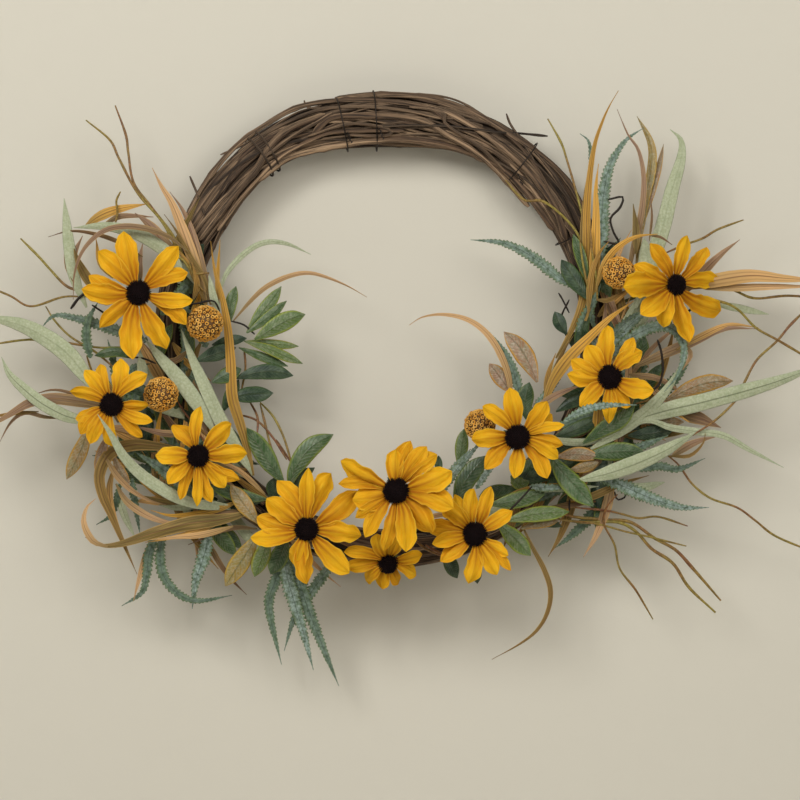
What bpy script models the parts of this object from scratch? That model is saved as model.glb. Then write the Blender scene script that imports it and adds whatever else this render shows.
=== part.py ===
"""Harvest door wreath: a grapevine ring with silk flowers, ball heads and foliage picks.

The frame: +Z is up, +X to the right seen from the front, -Y towards the viewer, and the
origin is the point under the ring's top where a door hook holds it. Lengths are metres;
the arrangement's places are millimetres (x, z), as seen from the front, for a ring of
PLAN_RADIUS, and place() moves them with the ring when its radius changes.
"""
import math

import bmesh
import bpy
from mathutils import Matrix, Vector

MM = 0.001
CLEAR = 0.0004  # least gap between two separate pieces

# Ring: one thick core vine and a layer of thinner vines wound once round it.
RING_RADIUS = 0.159
VINES = 9
VINE_RADIUS = 0.0037
VINE_PITCH_SLACK = 1.03
TOP_SWELL = 0.0058  # how much further out the vines lie at the ring's top than at its sides
DEPTH_SWELL = 0.0019
RING_POINTS = 30

VINE_SPREAD = VINE_PITCH_SLACK * (VINE_RADIUS + CLEAR / 2) / math.sin(math.pi / VINES)
CORE_RADIUS = VINE_SPREAD * math.cos(math.pi / VINES) - VINE_RADIUS - CLEAR
RING_FRONT = VINE_SPREAD + DEPTH_SWELL + VINE_RADIUS
RING_CENTRE_Z = -(RING_RADIUS - VINE_SPREAD - TOP_SWELL - VINE_RADIUS)

# The arrangement's plan is drawn for this ring, whose centre is at plan height PLAN_CENTRE.
PLAN_RADIUS = 0.159
PLAN_CENTRE = -138
SPREAD = RING_RADIUS / PLAN_RADIUS

# Depths in the tables are in millimetres in front of the middle of a ring whose front
# stands this far forwards; a thicker ring pushes the flowers and balls forwards with it.
PLAN_FRONT = 0.017345

# Wires that bind the ring: degrees clockwise from the top.
TIE_ANGLES = (-14, -3, 38, 62)
TIE_RADIUS = 0.0006
TWIG_ANGLE = -37
TWIG_RADIUS = 0.0014

# Wired stems lie on the ring's front, then turn forwards to the heads.
STEM_RADIUS = 0.0014
STEM_BEND = 0.006
STEM_Y = -(RING_FRONT + 2 * TWIG_RADIUS + 3 * CLEAR + STEM_RADIUS)

# Foliage picks lie one in front of another; each has a spine along the ring's lower half.
SPINE_RADIUS = 0.0013
SPINE_INSET = 0.011  # how far inside the ring's mean radius the spines lie
SPINE_POINTS = 10
LEAF_HALF_THICK = 0.00045
BAND_STEP = 2 * SPINE_RADIUS + 0.0010
FIRST_BAND_Y = STEM_Y - STEM_RADIUS - SPINE_RADIUS - 0.0007
POST_CLEAR = 0.0022  # a leaf keeps this far from the stems that pass between the leaves
LEAF_STEP = 0.026
LEAF_STEPS = (3, 6)  # fewest and most lengths that a leaf's centre line is made of

# Flower heads.
NECK_GAP = 0.0008
CALYX_LENGTH = 0.0040
CALYX_RADIUS = 0.0035
PETAL_THICK = 0.0010
PETAL_CUP = 0.10  # how far a petal's tip comes forwards, as a share of its length
CONE_HEIGHT = 0.0075

# Flower: plan x, plan z, hub depth in front of the ring's middle, radius, petals, cone
# radius, turn to the right and tilt down in degrees, and where its stem meets the ring.
FLOWERS = (
    (-187, -107, 64, 41, 10, 9.5, 0, 0, (-158, -112)),
    (-208, -190, 75, 32, 11, 9.0, 0, 0, (-152, -206)),
    (-142, -229, 64, 33, 9, 9.0, 0, 0, (-128, -221)),
    (-61, -284, 65, 42, 9, 10.0, 0, 0, (-68, -278)),
    (6, -255, 84, 41, 9, 10.5, 0, 0, (9, -287)),
    (0, -308, 50, 27, 9, 8.5, 0, 35, (-6, -298)),
    (65, -288, 62, 34, 12, 10.0, 0, 0, (62, -281)),
    (97, -215, 73, 34, 11, 10.0, 0, 0, (119, -231)),
    (166, -170, 66, 33, 10, 10.0, 0, 0, (156, -167)),
    (214, -101, 62, 38, 8, 8.5, 38, 0, (160, -121)),
)

# Ball heads: plan x, plan z, depth, radius, and where the stem meets the ring.
BALLS = (
    (-137, -130, 56, 13.0, (-150, -132)),
    (-170, -183, 56, 12.5, (-158, -178)),
    (173, -92, 52, 11.5, (160, -97)),
    (69, -206, 53, 11.5, (106, -242)),
)

# Foliage picks, back to front. A leaf is its full width in mm and its plan points from
# base to tip; the root that joins it to the pick's spine is added by leaf_points().
LEFT_ARC = (-60, -168)
RIGHT_ARC = (56, 168)
PICKS = {
    "left_tendrils": (LEFT_ARC, 0, (
        (2.0, ((-150, -90), (-168, -60), (-180, -40), (-192, -22), (-195, 0), (-197, 12), (-205, 33))),
        (2.0, ((-156, -80), (-174, -50), (-190, -30), (-203, 0), (-210, 9), (-226, 22))),
        (2.2, ((-228, -105), (-242, -102), (-255, -88), (-275, -67))),
        (1.8, ((-230, -110), (-250, -112), (-268, -117), (-285, -108), (-300, -102))),
        (1.8, ((-205, -162), (-222, -150), (-240, -137), (-257, -118))),
        (1.8, ((-195, -147), (-220, -147), (-245, -143), (-270, -142), (-300, -147))),
        (1.8, ((-90, -243), (-82, -228), (-90, -205), (-97, -191))),
    )),
    "left_serrated_leaves": (LEFT_ARC, 1, (
        (7.0, ((-195, -140), (-215, -133), (-235, -127), (-252, -124))),
        (6.0, ((-222, -150), (-226, -138), (-225, -125), (-219, -113))),
        (7.0, ((-178, -295), (-182, -315), (-186, -333), (-200, -341))),
        (6.5, ((-165, -290), (-171, -315), (-160, -333), (-145, -339), (-118, -335))),
        (8.0, ((-133, -293), (-140, -310), (-144, -325), (-143, -340))),
        (9.0, ((-150, -265), (-172, -245), (-186, -230))),
        (8.0, ((-84, -292), (-80, -318), (-89, -342), (-75, -380))),
        (7.0, ((-80, -290), (-74, -320), (-72, -345), (-82, -385))),
        (8.0, ((-76, -290), (-70, -322), (-58, -365), (-38, -401))),
        (6.0, ((-42, -300), (-48, -322), (-63, -336))),
    )),
    "left_grass_blades": (LEFT_ARC, 2, (
        (9.0, ((-132, -118), (-142, -90), (-152, -62), (-165, -35), (-177, -15))),
        (10.0, ((-106, -235), (-112, -200), (-117, -165), (-119, -135), (-125, -105), (-133, -70))),
        (4.0, ((-155, -75), (-170, -62), (-192, -58), (-213, -62), (-228, -74), (-236, -95), (-236, -112))),
        (7.0, ((-222, -92), (-225, -60), (-208, -48), (-183, -40))),
        (8.0, ((-188, -205), (-225, -199), (-250, -187), (-268, -188), (-300, -206))),
        (9.0, ((-125, -273), (-155, -280), (-185, -290), (-210, -297), (-222, -293), (-229, -281),
               (-221, -262))),
        (9.0, ((-190, -232), (-213, -240), (-208, -262), (-202, -282), (-193, -305), (-190, -335))),
        (3.5, ((-112, -128), (-100, -110), (-82, -99), (-62, -94), (-42, -97), (-17, -110))),
    )),
    "left_green_leaves": (LEFT_ARC, 3, (
        (9.0, ((-124, -144), (-118, -122), (-114, -103))),
        (10.0, ((-106, -137), (-92, -118), (-81, -103))),
        (12.0, ((-102, -140), (-84, -130), (-64, -124))),
        (8.0, ((-108, -143), (-88, -148), (-66, -158))),
        (10.0, ((-112, -171), (-92, -166), (-71, -169))),
        (11.0, ((-118, -185), (-102, -182), (-87, -182))),
        (13.0, ((-84, -250), (-92, -228), (-105, -210))),
        (14.0, ((-74, -256), (-65, -228), (-43, -214))),
        (10.0, ((-95, -262), (-112, -258), (-128, -252))),
        (11.0, ((-98, -280), (-107, -266), (-116, -253))),
        (13.0, ((-102, -286), (-110, -305), (-122, -325))),
        (11.0, ((-82, -290), (-91, -304), (-99, -319))),
        (12.0, ((-226, -212), (-231, -225), (-240, -245))),
    )),
    "left_sage_blades": (LEFT_ARC, 4, (
        (11.0, ((-128, -206), (-155, -172), (-182, -140))),
        (11.0, ((-105, -246), (-118, -222), (-133, -185), (-150, -152), (-157, -135))),
        (9.0, ((-125, -269), (-145, -266), (-168, -256), (-187, -243), (-200, -225), (-214, -204))),
        (10.0, ((-142, -100), (-157, -82), (-175, -74), (-195, -62), (-215, -58), (-233, -62))),
        (9.0, ((-215, -130), (-238, -90), (-239, -60), (-243, -38))),
        (13.0, ((-218, -175), (-236, -155), (-250, -143), (-281, -128), (-300, -126))),
        (9.0, ((-220, -204), (-250, -194), (-266, -184), (-280, -170), (-291, -156))),
        (4.0, ((-120, -95), (-104, -74), (-88, -68), (-74, -71), (-60, -77))),
    )),
    "right_tendrils": (RIGHT_ARC, 0, (
        (1.8, ((150, -60), (139, -27), (133, -2), (121, 22))),
        (2.0, ((152, -90), (142, -63), (122, -38), (102, -36), (88, -22))),
        (1.8, ((205, -78), (222, -70), (238, -65), (250, -58), (267, -52))),
        (2.0, ((225, -90), (244, -96), (261, -106), (275, -111), (309, -110), (318, -110))),
        (2.0, ((230, -108), (250, -113), (267, -122), (278, -134), (295, -145), (318, -157))),
        (1.8, ((240, -208), (262, -185), (267, -175), (276, -158), (294, -143), (315, -120))),
        (1.8, ((206, -228), (226, -250), (244, -263), (265, -269), (279, -280), (316, -302))),
        (1.8, ((140, -272), (170, -270), (187, -276), (203, -275), (224, -282))),
        (2.6, ((137, -276), (180, -278), (205, -292), (220, -304), (232, -319), (250, -338))),
        (2.6, ((150, -280), (180, -284), (195, -298), (215, -312), (228, -330), (246, -347))),
        (1.8, ((171, -261), (162, -275), (170, -295), (174, -315), (186, -332), (199, -352))),
    )),
    "right_serrated_leaves": (RIGHT_ARC, 1, (
        (6.0, ((130, -95), (115, -83), (99, -74), (81, -68), (64, -67))),
        (8.0, ((160, -66), (162, -40), (163, -20), (170, -5), (179, 9), (192, 17))),
        (7.0, ((198, -184), (220, -160), (222, -145), (208, -132))),
        (8.0, ((184, -140), (200, -134), (212, -136))),
        (8.0, ((160, -246), (172, -252), (198, -261), (220, -267), (240, -268))),
        (7.0, ((80, -256), (60, -236), (44, -246))),
        (6.0, ((190, -236), (204, -235), (218, -238), (237, -232))),
    )),
    "right_grass_blades": (RIGHT_ARC, 2, (
        (8.0, ((146, -90), (147, -42), (150, -17), (156, 10), (163, 30), (173, 44))),
        (8.0, ((153, -110), (156, -79), (157, -35), (158, -11))),
        (8.0, ((128, -178), (142, -154), (160, -134), (182, -116))),
        (8.0, ((114, -182), (126, -150), (138, -126))),
        (6.0, ((160, -92), (172, -70), (188, -64), (208, -67))),
        (9.0, ((200, -116), (240, -98), (280, -95), (318, -98))),
        (6.0, ((222, -112), (236, -90), (262, -68))),
        (9.0, ((184, -158), (226, -146), (250, -137), (276, -134))),
        (4.5, ((184, -104), (191, -35), (189, -3), (178, 12), (173, 30))),
        (5.0, ((92, -184), (82, -150), (73, -136), (62, -128), (43, -124), (18, -128))),
        (4.0, ((106, -284), (115, -308), (122, -325), (122, -339), (117, -355), (103, -367), (79, -382))),
    )),
    "right_green_leaves": (RIGHT_ARC, 3, (
        (10.0, ((56, -236), (53, -224), (55, -210))),
        (14.0, ((52, -266), (60, -248), (74, -231))),
        (12.0, ((80, -268), (97, -262), (116, -258))),
        (12.0, ((90, -277), (112, -273), (134, -272))),
        (13.0, ((84, -282), (96, -292), (107, -304))),
        (10.0, ((44, -296), (50, -308), (52, -320))),
        (15.0, ((122, -232), (136, -249), (152, -265))),
        (10.0, ((110, -200), (106, -188), (106, -175))),
        (10.0, ((145, -112), (137, -98), (131, -83))),
        (9.0, ((132, -137), (128, -130), (127, -121))),
        (12.0, ((150, -218), (166, -206), (184, -192))),
        (12.0, ((150, -228), (172, -226), (190, -226))),
        (14.0, ((112, -170), (101, -152), (88, -136))),
        (9.0, ((92, -186), (84, -172), (77, -160))),
        (14.0, ((206, -190), (236, -178), (258, -174))),
        (9.0, ((186, -112), (192, -45), (197, -20), (196, 3), (188, 25))),
    )),
    "right_sage_blades": (RIGHT_ARC, 4, (
        (12.0, ((170, -214), (212, -196), (255, -185), (285, -175), (318, -162))),
        (12.0, ((144, -248), (175, -240), (200, -228), (230, -216))),
        (11.0, ((160, -216), (190, -198), (219, -170))),
        (12.0, ((184, -122), (200, -70), (214, -30), (222, 0), (213, 16))),
        (6.0, ((180, -210), (210, -208), (235, -212), (255, -217), (275, -229), (296, -238))),
    )),
}

COLOURS = {
    "bark": (0.16, 0.11, 0.08), "wire": (0.03, 0.03, 0.03), "stem": (0.12, 0.16, 0.05),
    "petal": (0.80, 0.45, 0.05), "cone": (0.015, 0.010, 0.012), "ball": (0.55, 0.28, 0.05),
    "tendrils": (0.22, 0.18, 0.04), "serrated_leaves": (0.10, 0.18, 0.14),
    "grass_blades": (0.40, 0.24, 0.08), "green_leaves": (0.09, 0.16, 0.05),
    "sage_blades": (0.38, 0.42, 0.28),
}


def clear_scene():
    for obj in list(bpy.data.objects):
        bpy.data.objects.remove(obj, do_unlink=True)


def collection(name):
    made = bpy.data.collections.new(name)
    bpy.context.scene.collection.children.link(made)
    return made


def material(name):
    made = bpy.data.materials.new(name)
    made.use_nodes = True
    shader = made.node_tree.nodes["Principled BSDF"]
    shader.inputs["Base Color"].default_value = (*COLOURS[name], 1)
    shader.inputs["Roughness"].default_value = 0.75
    shader.inputs["Metallic"].default_value = 0.6 if name == "wire" else 0.0
    return made


def mesh_object(name, mesh, into, finish=None):
    obj = bpy.data.objects.new(name, mesh)
    into.objects.link(obj)
    if finish:
        mesh.materials.append(finish)
    return obj


def place(x, z):
    """A plan point in millimetres as the metres (x, z) of this ring."""
    return Vector((x * MM * SPREAD, 0, RING_CENTRE_Z + (z - PLAN_CENTRE) * MM * SPREAD))


def forwards(depth):
    """A depth from the tables as this ring's y."""
    return PLAN_FRONT - RING_FRONT - depth * MM


def ring_point(degrees, radius, y):
    """A point at this angle clockwise from the ring's top."""
    turn = math.radians(degrees)
    return Vector((radius * math.sin(turn), y, RING_CENTRE_Z + radius * math.cos(turn)))


def tube(name, points, radius, into, finish, closed=False, sides=1):
    """A poly curve with a round section; sides 0, 1 and 2 give 4, 6 and 8 flats."""
    curve = bpy.data.curves.new(name, "CURVE")
    curve.dimensions = "3D"
    curve.bevel_depth = radius
    curve.bevel_resolution = sides
    curve.use_fill_caps = True
    spline = curve.splines.new("POLY")
    spline.points.add(len(points) - 1)
    for slot, point in zip(spline.points, points):
        slot.co = (*point, 1)
    spline.use_cyclic_u = closed
    curve.materials.append(finish)
    obj = bpy.data.objects.new(name, curve)
    into.objects.link(obj)
    return obj


def as_mesh(curve_object):
    """The welded mesh of a tube, ready for a Boolean."""
    bpy.context.view_layer.update()
    graph = bpy.context.evaluated_depsgraph_get()
    mesh = bpy.data.meshes.new_from_object(curve_object.evaluated_get(graph))
    shape = bmesh.new()
    shape.from_mesh(mesh)
    bmesh.ops.remove_doubles(shape, verts=shape.verts, dist=1e-6)
    shape.to_mesh(mesh)
    shape.free()
    name = curve_object.name
    into = curve_object.users_collection[0]
    bpy.data.objects.remove(curve_object, do_unlink=True)
    return mesh_object(name, mesh, into)


def swell(degrees):
    """1 at the ring's top, falling to 0 at its sides and below."""
    return max(0.0, math.cos(math.radians(degrees) * 1.35)) ** 2 if abs(degrees) < 66 else 0.0


def section_point(degrees, turn, spread):
    """A point of the ring's oval section at this place on the ring, turn radians round it."""
    out = spread + TOP_SWELL * swell(degrees)
    radius = RING_RADIUS + out * math.cos(turn)
    return ring_point(degrees, radius, (spread + DEPTH_SWELL) * math.sin(turn))


def make_ring(parts):
    bark = material("bark")
    angles = [360 * i / RING_POINTS - 180 for i in range(RING_POINTS)]
    core = [ring_point(a, RING_RADIUS, 0) for a in angles]
    tube("core_vine", core, CORE_RADIUS, parts, bark, closed=True)
    for vine in range(VINES):
        start = 2 * math.pi * vine / VINES
        route = [section_point(a, start + math.radians(a), VINE_SPREAD) for a in angles]
        tube(f"vine_{vine + 1}", route, VINE_RADIUS, parts, bark, closed=True)
    wire = material("wire")
    for number, angle in enumerate(TIE_ANGLES, 1):
        tie_loop(f"tie_wire_{number}", angle, TIE_RADIUS, parts, wire)
    tie_loop("vine_wrap", TWIG_ANGLE, TWIG_RADIUS, parts, bark)


def tie_loop(name, angle, radius, parts, finish):
    """A loop bent round the whole bundle, clear of the vines."""
    steps = 14
    reach = (VINE_SPREAD + VINE_RADIUS + radius + 2 * CLEAR) / math.cos(math.pi / steps)
    loop = [section_point(angle, 2 * math.pi * i / steps, reach) for i in range(steps)]
    tube(name, loop, radius, parts, finish, closed=True)


def facing(turn, tilt):
    """The rotation of a head turned to the right and tipped down, in degrees."""
    return Matrix.Rotation(math.radians(turn), 3, "Z") @ Matrix.Rotation(math.radians(tilt), 3, "X")


def petal_outline(petals, radius):
    """Points round the flower, three to a petal: the valley and the two sides of its tip."""
    shares = (0.50, 1.0, 1.0)
    steps = len(shares) * petals
    return [(radius * shares[i % len(shares)], 2 * math.pi * i / steps) for i in range(steps)]


def petal_mesh(name, petals, radius):
    """One cupped layer of petals on a calyx, closed, with its neck at the origin."""
    outline = petal_outline(petals, radius)
    hub = -(NECK_GAP + CALYX_LENGTH)
    hub_radius = 0.32 * radius

    def ring(shape, radii, y):
        made = []
        for r, a in radii:
            cup = PETAL_CUP * max(r - hub_radius, 0)
            made.append(shape.verts.new((r * math.cos(a), y - cup, r * math.sin(a))))
        return made

    shape = bmesh.new()
    rings = [
        ring(shape, [(hub_radius, a) for _, a in outline], hub - PETAL_THICK),
        ring(shape, outline, hub - PETAL_THICK),
        ring(shape, outline, hub),
        ring(shape, [(hub_radius, a) for _, a in outline], hub),
        ring(shape, [(CALYX_RADIUS, a) for _, a in outline], hub),
        ring(shape, [(CALYX_RADIUS * 0.7, a) for _, a in outline], -NECK_GAP),
    ]
    steps = len(outline)
    for upper, lower in zip(rings, rings[1:]):
        for i in range(steps):
            j = (i + 1) % steps
            shape.faces.new((upper[i], upper[j], lower[j], lower[i]))
    front = shape.verts.new((0, hub - PETAL_THICK, 0))
    back = shape.verts.new((0, -NECK_GAP, 0))
    for i in range(steps):
        j = (i + 1) % steps
        shape.faces.new((front, rings[0][j], rings[0][i]))
        shape.faces.new((back, rings[-1][i], rings[-1][j]))
    bmesh.ops.recalc_face_normals(shape, faces=shape.faces)
    mesh = bpy.data.meshes.new(name)
    shape.to_mesh(mesh)
    shape.free()
    return mesh


def dome_mesh(name, radius, height, base_y):
    """A dome with a flat back at base_y, its crown towards the viewer."""
    shape = bmesh.new()
    bmesh.ops.create_uvsphere(shape, u_segments=12, v_segments=6, radius=1)
    for vert in shape.verts:
        x, y, z = vert.co
        vert.co = (radius * x, base_y - height * max(z, 0), radius * y)
    mesh = bpy.data.meshes.new(name)
    shape.to_mesh(mesh)
    shape.free()
    return mesh


def stem_route(ring_at, neck, back):
    """Along the ring's front from ring_at, then forwards to the neck; back is the neck's rear."""
    start = place(*ring_at)
    start.y = STEM_Y
    foot = neck + back * STEM_BEND
    corner = Vector((foot.x, STEM_Y, foot.z))
    run = (start - corner).normalized()
    rise = Vector((0, -1, 0))
    return [
        start,
        corner + run * STEM_BEND,
        corner + run * STEM_BEND * 0.3 + rise * STEM_BEND * 0.3,
        corner + rise * STEM_BEND,
        foot,
        neck,
    ]


def flower_neck(flower):
    x, z, depth, _, _, _, turn, tilt, _ = flower
    hub = place(x, z)
    hub.y = forwards(depth)
    back = facing(turn, tilt) @ Vector((0, 1, 0))
    return hub + back * (NECK_GAP + CALYX_LENGTH), back


def make_flowers(parts):
    petal, cone, stem = material("petal"), material("cone"), material("stem")
    for number, flower in enumerate(FLOWERS, 1):
        _, _, _, radius, petals, cone_radius, turn, tilt, ring_at = flower
        neck, back = flower_neck(flower)
        pose = facing(turn, tilt).to_euler()
        petal_data = petal_mesh(f"petals_{number}", petals, radius * MM)
        base_y = -(NECK_GAP + CALYX_LENGTH + PETAL_THICK + CLEAR)
        cone_data = dome_mesh(f"cone_{number}", cone_radius * MM, CONE_HEIGHT, base_y)
        for name, data, finish in (("petals", petal_data, petal), ("cone", cone_data, cone)):
            head = mesh_object(f"{name}_{number}", data, parts, finish)
            head.location = neck
            head.rotation_euler = pose
        tube(f"stem_{number}", stem_route(ring_at, neck, back), STEM_RADIUS, parts, stem)


def make_balls(parts, cutters):
    ball_finish = material("ball")
    for number, (x, z, depth, radius, ring_at) in enumerate(BALLS, 1):
        centre = place(x, z)
        centre.y = forwards(depth)
        shape = bmesh.new()
        bmesh.ops.create_uvsphere(shape, u_segments=12, v_segments=8, radius=radius * MM)
        bmesh.ops.translate(shape, verts=shape.verts, vec=centre)
        mesh = bpy.data.meshes.new(f"ball_{number}")
        shape.to_mesh(mesh)
        shape.free()
        ball = mesh_object(f"ball_{number}", mesh, parts, ball_finish)
        route = stem_route(ring_at, centre, Vector((0, 1, 0)))
        stem = as_mesh(tube(f"ball_stem_{number}", route, STEM_RADIUS, cutters, ball_finish))
        join(ball, [stem])


def join(obj, others):
    """A Boolean union of obj with the others, which are guides from then on."""
    guides = bpy.data.collections.new(f"{obj.name}_joined")
    bpy.data.collections["cutters"].children.link(guides)
    for other in others:
        for owner in list(other.users_collection):
            owner.objects.unlink(other)
        guides.objects.link(other)
        other.hide_render = True
        other.display_type = "WIRE"
    union = obj.modifiers.new("union", "BOOLEAN")
    union.operation = "UNION"
    union.operand_type = "COLLECTION"
    union.collection = guides
    union.solver = "EXACT"


def posts():
    """Where stems pass forwards between the leaves, in plan metres."""
    found = []
    for flower in FLOWERS:
        neck, back = flower_neck(flower)
        found.append(neck + back * STEM_BEND)
        found.append(neck)
    for x, z, _, _, _ in BALLS:
        found.append(place(x, z))
    return found


def smooth_route(points, steps):
    """A Catmull-Rom curve through the points, sampled evenly along its length."""
    dense = []
    padded = [points[0] * 2 - points[1], *points, points[-1] * 2 - points[-2]]
    for a, b, c, d in zip(padded, padded[1:], padded[2:], padded[3:]):
        for i in range(12):
            t = i / 12
            dense.append(0.5 * (2 * b + (c - a) * t + (2 * a - 5 * b + 4 * c - d) * t * t
                                + (3 * b - a - 3 * c + d) * t ** 3))
    dense.append(points[-1])
    lengths = [0.0]
    for a, b in zip(dense, dense[1:]):
        lengths.append(lengths[-1] + (b - a).length)
    route = []
    for i in range(steps + 1):
        want = lengths[-1] * i / steps
        k = max(j for j, length in enumerate(lengths) if length <= want + 1e-9)
        route.append(dense[min(k, len(dense) - 1)].copy())
    return route


def leaf_points(arc, points, width, y):
    """The leaf's centre line from the pick's spine to its tip, steered round the stems."""
    plan = [place(*point) for point in points]
    first = plan[0]
    angle = math.degrees(math.atan2(first.x, first.z - RING_CENTRE_Z))
    if arc[0] < 0 < angle:
        angle -= 360
    low, high = sorted(arc)
    root = ring_point(min(max(angle, low), high), RING_RADIUS - SPINE_INSET, 0)
    if (root - first).length > 2 * SPINE_RADIUS:
        plan.insert(0, root)
    else:
        plan[0] = root
    length = sum((b - a).length for a, b in zip(plan, plan[1:]))
    steps = max(LEAF_STEPS[0], min(LEAF_STEPS[1], round(length / (LEAF_STEP * SPREAD))))
    route = smooth_route(plan, steps)
    keep = width / 2 + STEM_RADIUS + POST_CLEAR
    for point in route[1:]:
        for post in posts():
            away = Vector((point.x - post.x, 0, point.z - post.z))
            if away.length < keep:
                point += away.normalized() * (keep - away.length)
        point.y = y
    route[0].y = y
    return route


def leaf_mesh(name, route, width):
    """A long leaf, flat behind and ridged along its midrib, pointed at its tip."""
    shape = bmesh.new()
    rings = []
    last = len(route) - 1
    for i, point in enumerate(route):
        along = route[min(i + 1, last)] - route[max(i - 1, 0)]
        side = Vector((along.z, 0, -along.x)).normalized()
        share = i / last
        full = 0.35 + 0.65 * math.sin(math.pi * min(1.0, 0.15 + share * 0.85) ** 1.2)
        half = width / 2 * (full if i < last else 0.16)
        thick = max(LEAF_HALF_THICK, min(half, LEAF_HALF_THICK * 2))
        ridge = Vector((0, -thick, 0))
        corners = (side * half, ridge * 2, -side * half)
        rings.append([shape.verts.new(point + corner) for corner in corners])
    for a, b in zip(rings, rings[1:]):
        for i in range(3):
            j = (i + 1) % 3
            shape.faces.new((a[i], a[j], b[j], b[i]))
    shape.faces.new(rings[0])
    shape.faces.new(rings[-1])
    bmesh.ops.triangulate(shape, faces=shape.faces)
    bmesh.ops.recalc_face_normals(shape, faces=shape.faces)
    mesh = bpy.data.meshes.new(name)
    shape.to_mesh(mesh)
    shape.free()
    return mesh


def make_pick(name, arc, band, leaves, finish, parts, cutters):
    y = FIRST_BAND_Y - band * BAND_STEP
    radius = RING_RADIUS - SPINE_INSET
    step = (arc[1] - arc[0]) / (SPINE_POINTS - 1)
    spine_route = [ring_point(arc[0] + i * step, radius, y) for i in range(SPINE_POINTS)]
    spine = as_mesh(tube(name, spine_route, SPINE_RADIUS, parts, finish))
    made = []
    for number, (width, points) in enumerate(leaves):
        shift = (number % 5 - 2) * 0.00013
        route = leaf_points(arc, points, width * MM * SPREAD, y + shift)
        mesh = leaf_mesh(f"{name}_{number}", route, width * MM * SPREAD)
        made.append(mesh_object(mesh.name, mesh, cutters))
    join(spine, made)


def main():
    clear_scene()
    parts = collection("harvest_door_wreath")
    cutters = collection("cutters")
    make_ring(parts)
    make_flowers(parts)
    make_balls(parts, cutters)
    finishes = {}
    for name, (arc, band, leaves) in PICKS.items():
        kind = name.split("_", 1)[1]
        if kind not in finishes:
            finishes[kind] = material(kind)
        make_pick(name, arc, band, leaves, finishes[kind], parts, cutters)


main()
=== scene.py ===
import math
import random

import bpy
from mathutils import Matrix, Vector


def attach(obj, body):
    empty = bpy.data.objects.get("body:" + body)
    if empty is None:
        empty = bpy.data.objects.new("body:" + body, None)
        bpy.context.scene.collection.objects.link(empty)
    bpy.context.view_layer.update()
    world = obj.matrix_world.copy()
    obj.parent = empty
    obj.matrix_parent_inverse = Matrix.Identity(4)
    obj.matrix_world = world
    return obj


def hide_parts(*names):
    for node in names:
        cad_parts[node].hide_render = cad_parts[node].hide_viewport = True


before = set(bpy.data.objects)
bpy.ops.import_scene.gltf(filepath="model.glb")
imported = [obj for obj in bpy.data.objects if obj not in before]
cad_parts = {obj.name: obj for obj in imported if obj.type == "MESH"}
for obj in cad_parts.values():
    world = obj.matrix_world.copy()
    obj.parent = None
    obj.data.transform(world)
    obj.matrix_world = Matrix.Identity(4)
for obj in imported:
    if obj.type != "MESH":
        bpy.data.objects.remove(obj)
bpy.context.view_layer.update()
scene = bpy.context.scene
wreath = "wreath"


# ---------------------------------------------------------------- The wall it hangs on
# The wreath hangs flat on a plain painted wall, in soft light from above and both sides.
# The floor lies well below it.

WALL_Y = 0.0225
FLOOR_Z = -0.75
WALL_TOP_Z, HALF_ROOM = 2.5, 3
WALL_PAINT = ((0.705, 0.672, 0.572), (0.685, 0.648, 0.545))
FLOOR_PAINT = ((0.60, 0.58, 0.54), (0.66, 0.64, 0.60))


def put(tree, kind, sockets=None, **settings):
    """Adds a node with these settings; a socket takes a plain value or another node's output."""
    made = tree.nodes.new(kind)
    for key, value in settings.items():
        setattr(made, key, value)
    for key, value in (sockets or {}).items():
        if isinstance(value, bpy.types.NodeSocket):
            tree.links.new(value, made.inputs[key])
        else:
            made.inputs[key].default_value = value
    return made


def calc(tree, operation, *values):
    return put(tree, "ShaderNodeMath", dict(enumerate(values)), operation=operation).outputs[0]


def product(tree, first, *others):
    for value in others:
        first = calc(tree, "MULTIPLY", first, value)
    return first


def total(tree, first, *others):
    for value in others:
        first = calc(tree, "ADD", first, value)
    return first


def ranged(tree, value, low, high):
    """0 where the value is at low, 1 where it is at high."""
    return put(tree, "ShaderNodeMapRange", {"Value": value, "From Min": low, "From Max": high}).outputs[0]


def new_finish(name, roughness):
    """A material, its nodes and its shader."""
    made = bpy.data.materials.new(name)
    made.use_nodes = True
    shader = made.node_tree.nodes["Principled BSDF"]
    shader.inputs["Roughness"].default_value = roughness
    return made, made.node_tree, shader


def mixed(tree, share, low, high):
    """A colour between low and high, which are plain colours or outputs."""
    made = put(tree, "ShaderNodeMix", data_type="RGBA")
    for index, value in ((0, share), (6, low), (7, high)):
        if isinstance(value, bpy.types.NodeSocket):
            tree.links.new(value, made.inputs[index])
        else:
            made.inputs[index].default_value = (*value, 1) if index else value
    return made.outputs[2]


def coloured(tree, shader, colour):
    tree.links.new(colour, shader.inputs["Base Color"])


def bumped(tree, shader, height, strength, distance):
    relief = put(tree, "ShaderNodeBump", {"Strength": strength, "Distance": distance, "Height": height})
    tree.links.new(relief.outputs[0], shader.inputs["Normal"])


def shader_group(name, inputs, outputs):
    """A shader node group with these value inputs and outputs."""
    made = bpy.data.node_groups.new(name, "ShaderNodeTree")
    for label in inputs:
        made.interface.new_socket(label, in_out="INPUT", socket_type="NodeSocketFloat")
    for label in outputs:
        made.interface.new_socket(label, in_out="OUTPUT", socket_type="NodeSocketFloat")
    return made, put(made, "NodeGroupInput").outputs


def grouped(tree, group, sockets):
    return put(tree, "ShaderNodeGroup", sockets, node_tree=group).outputs


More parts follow.
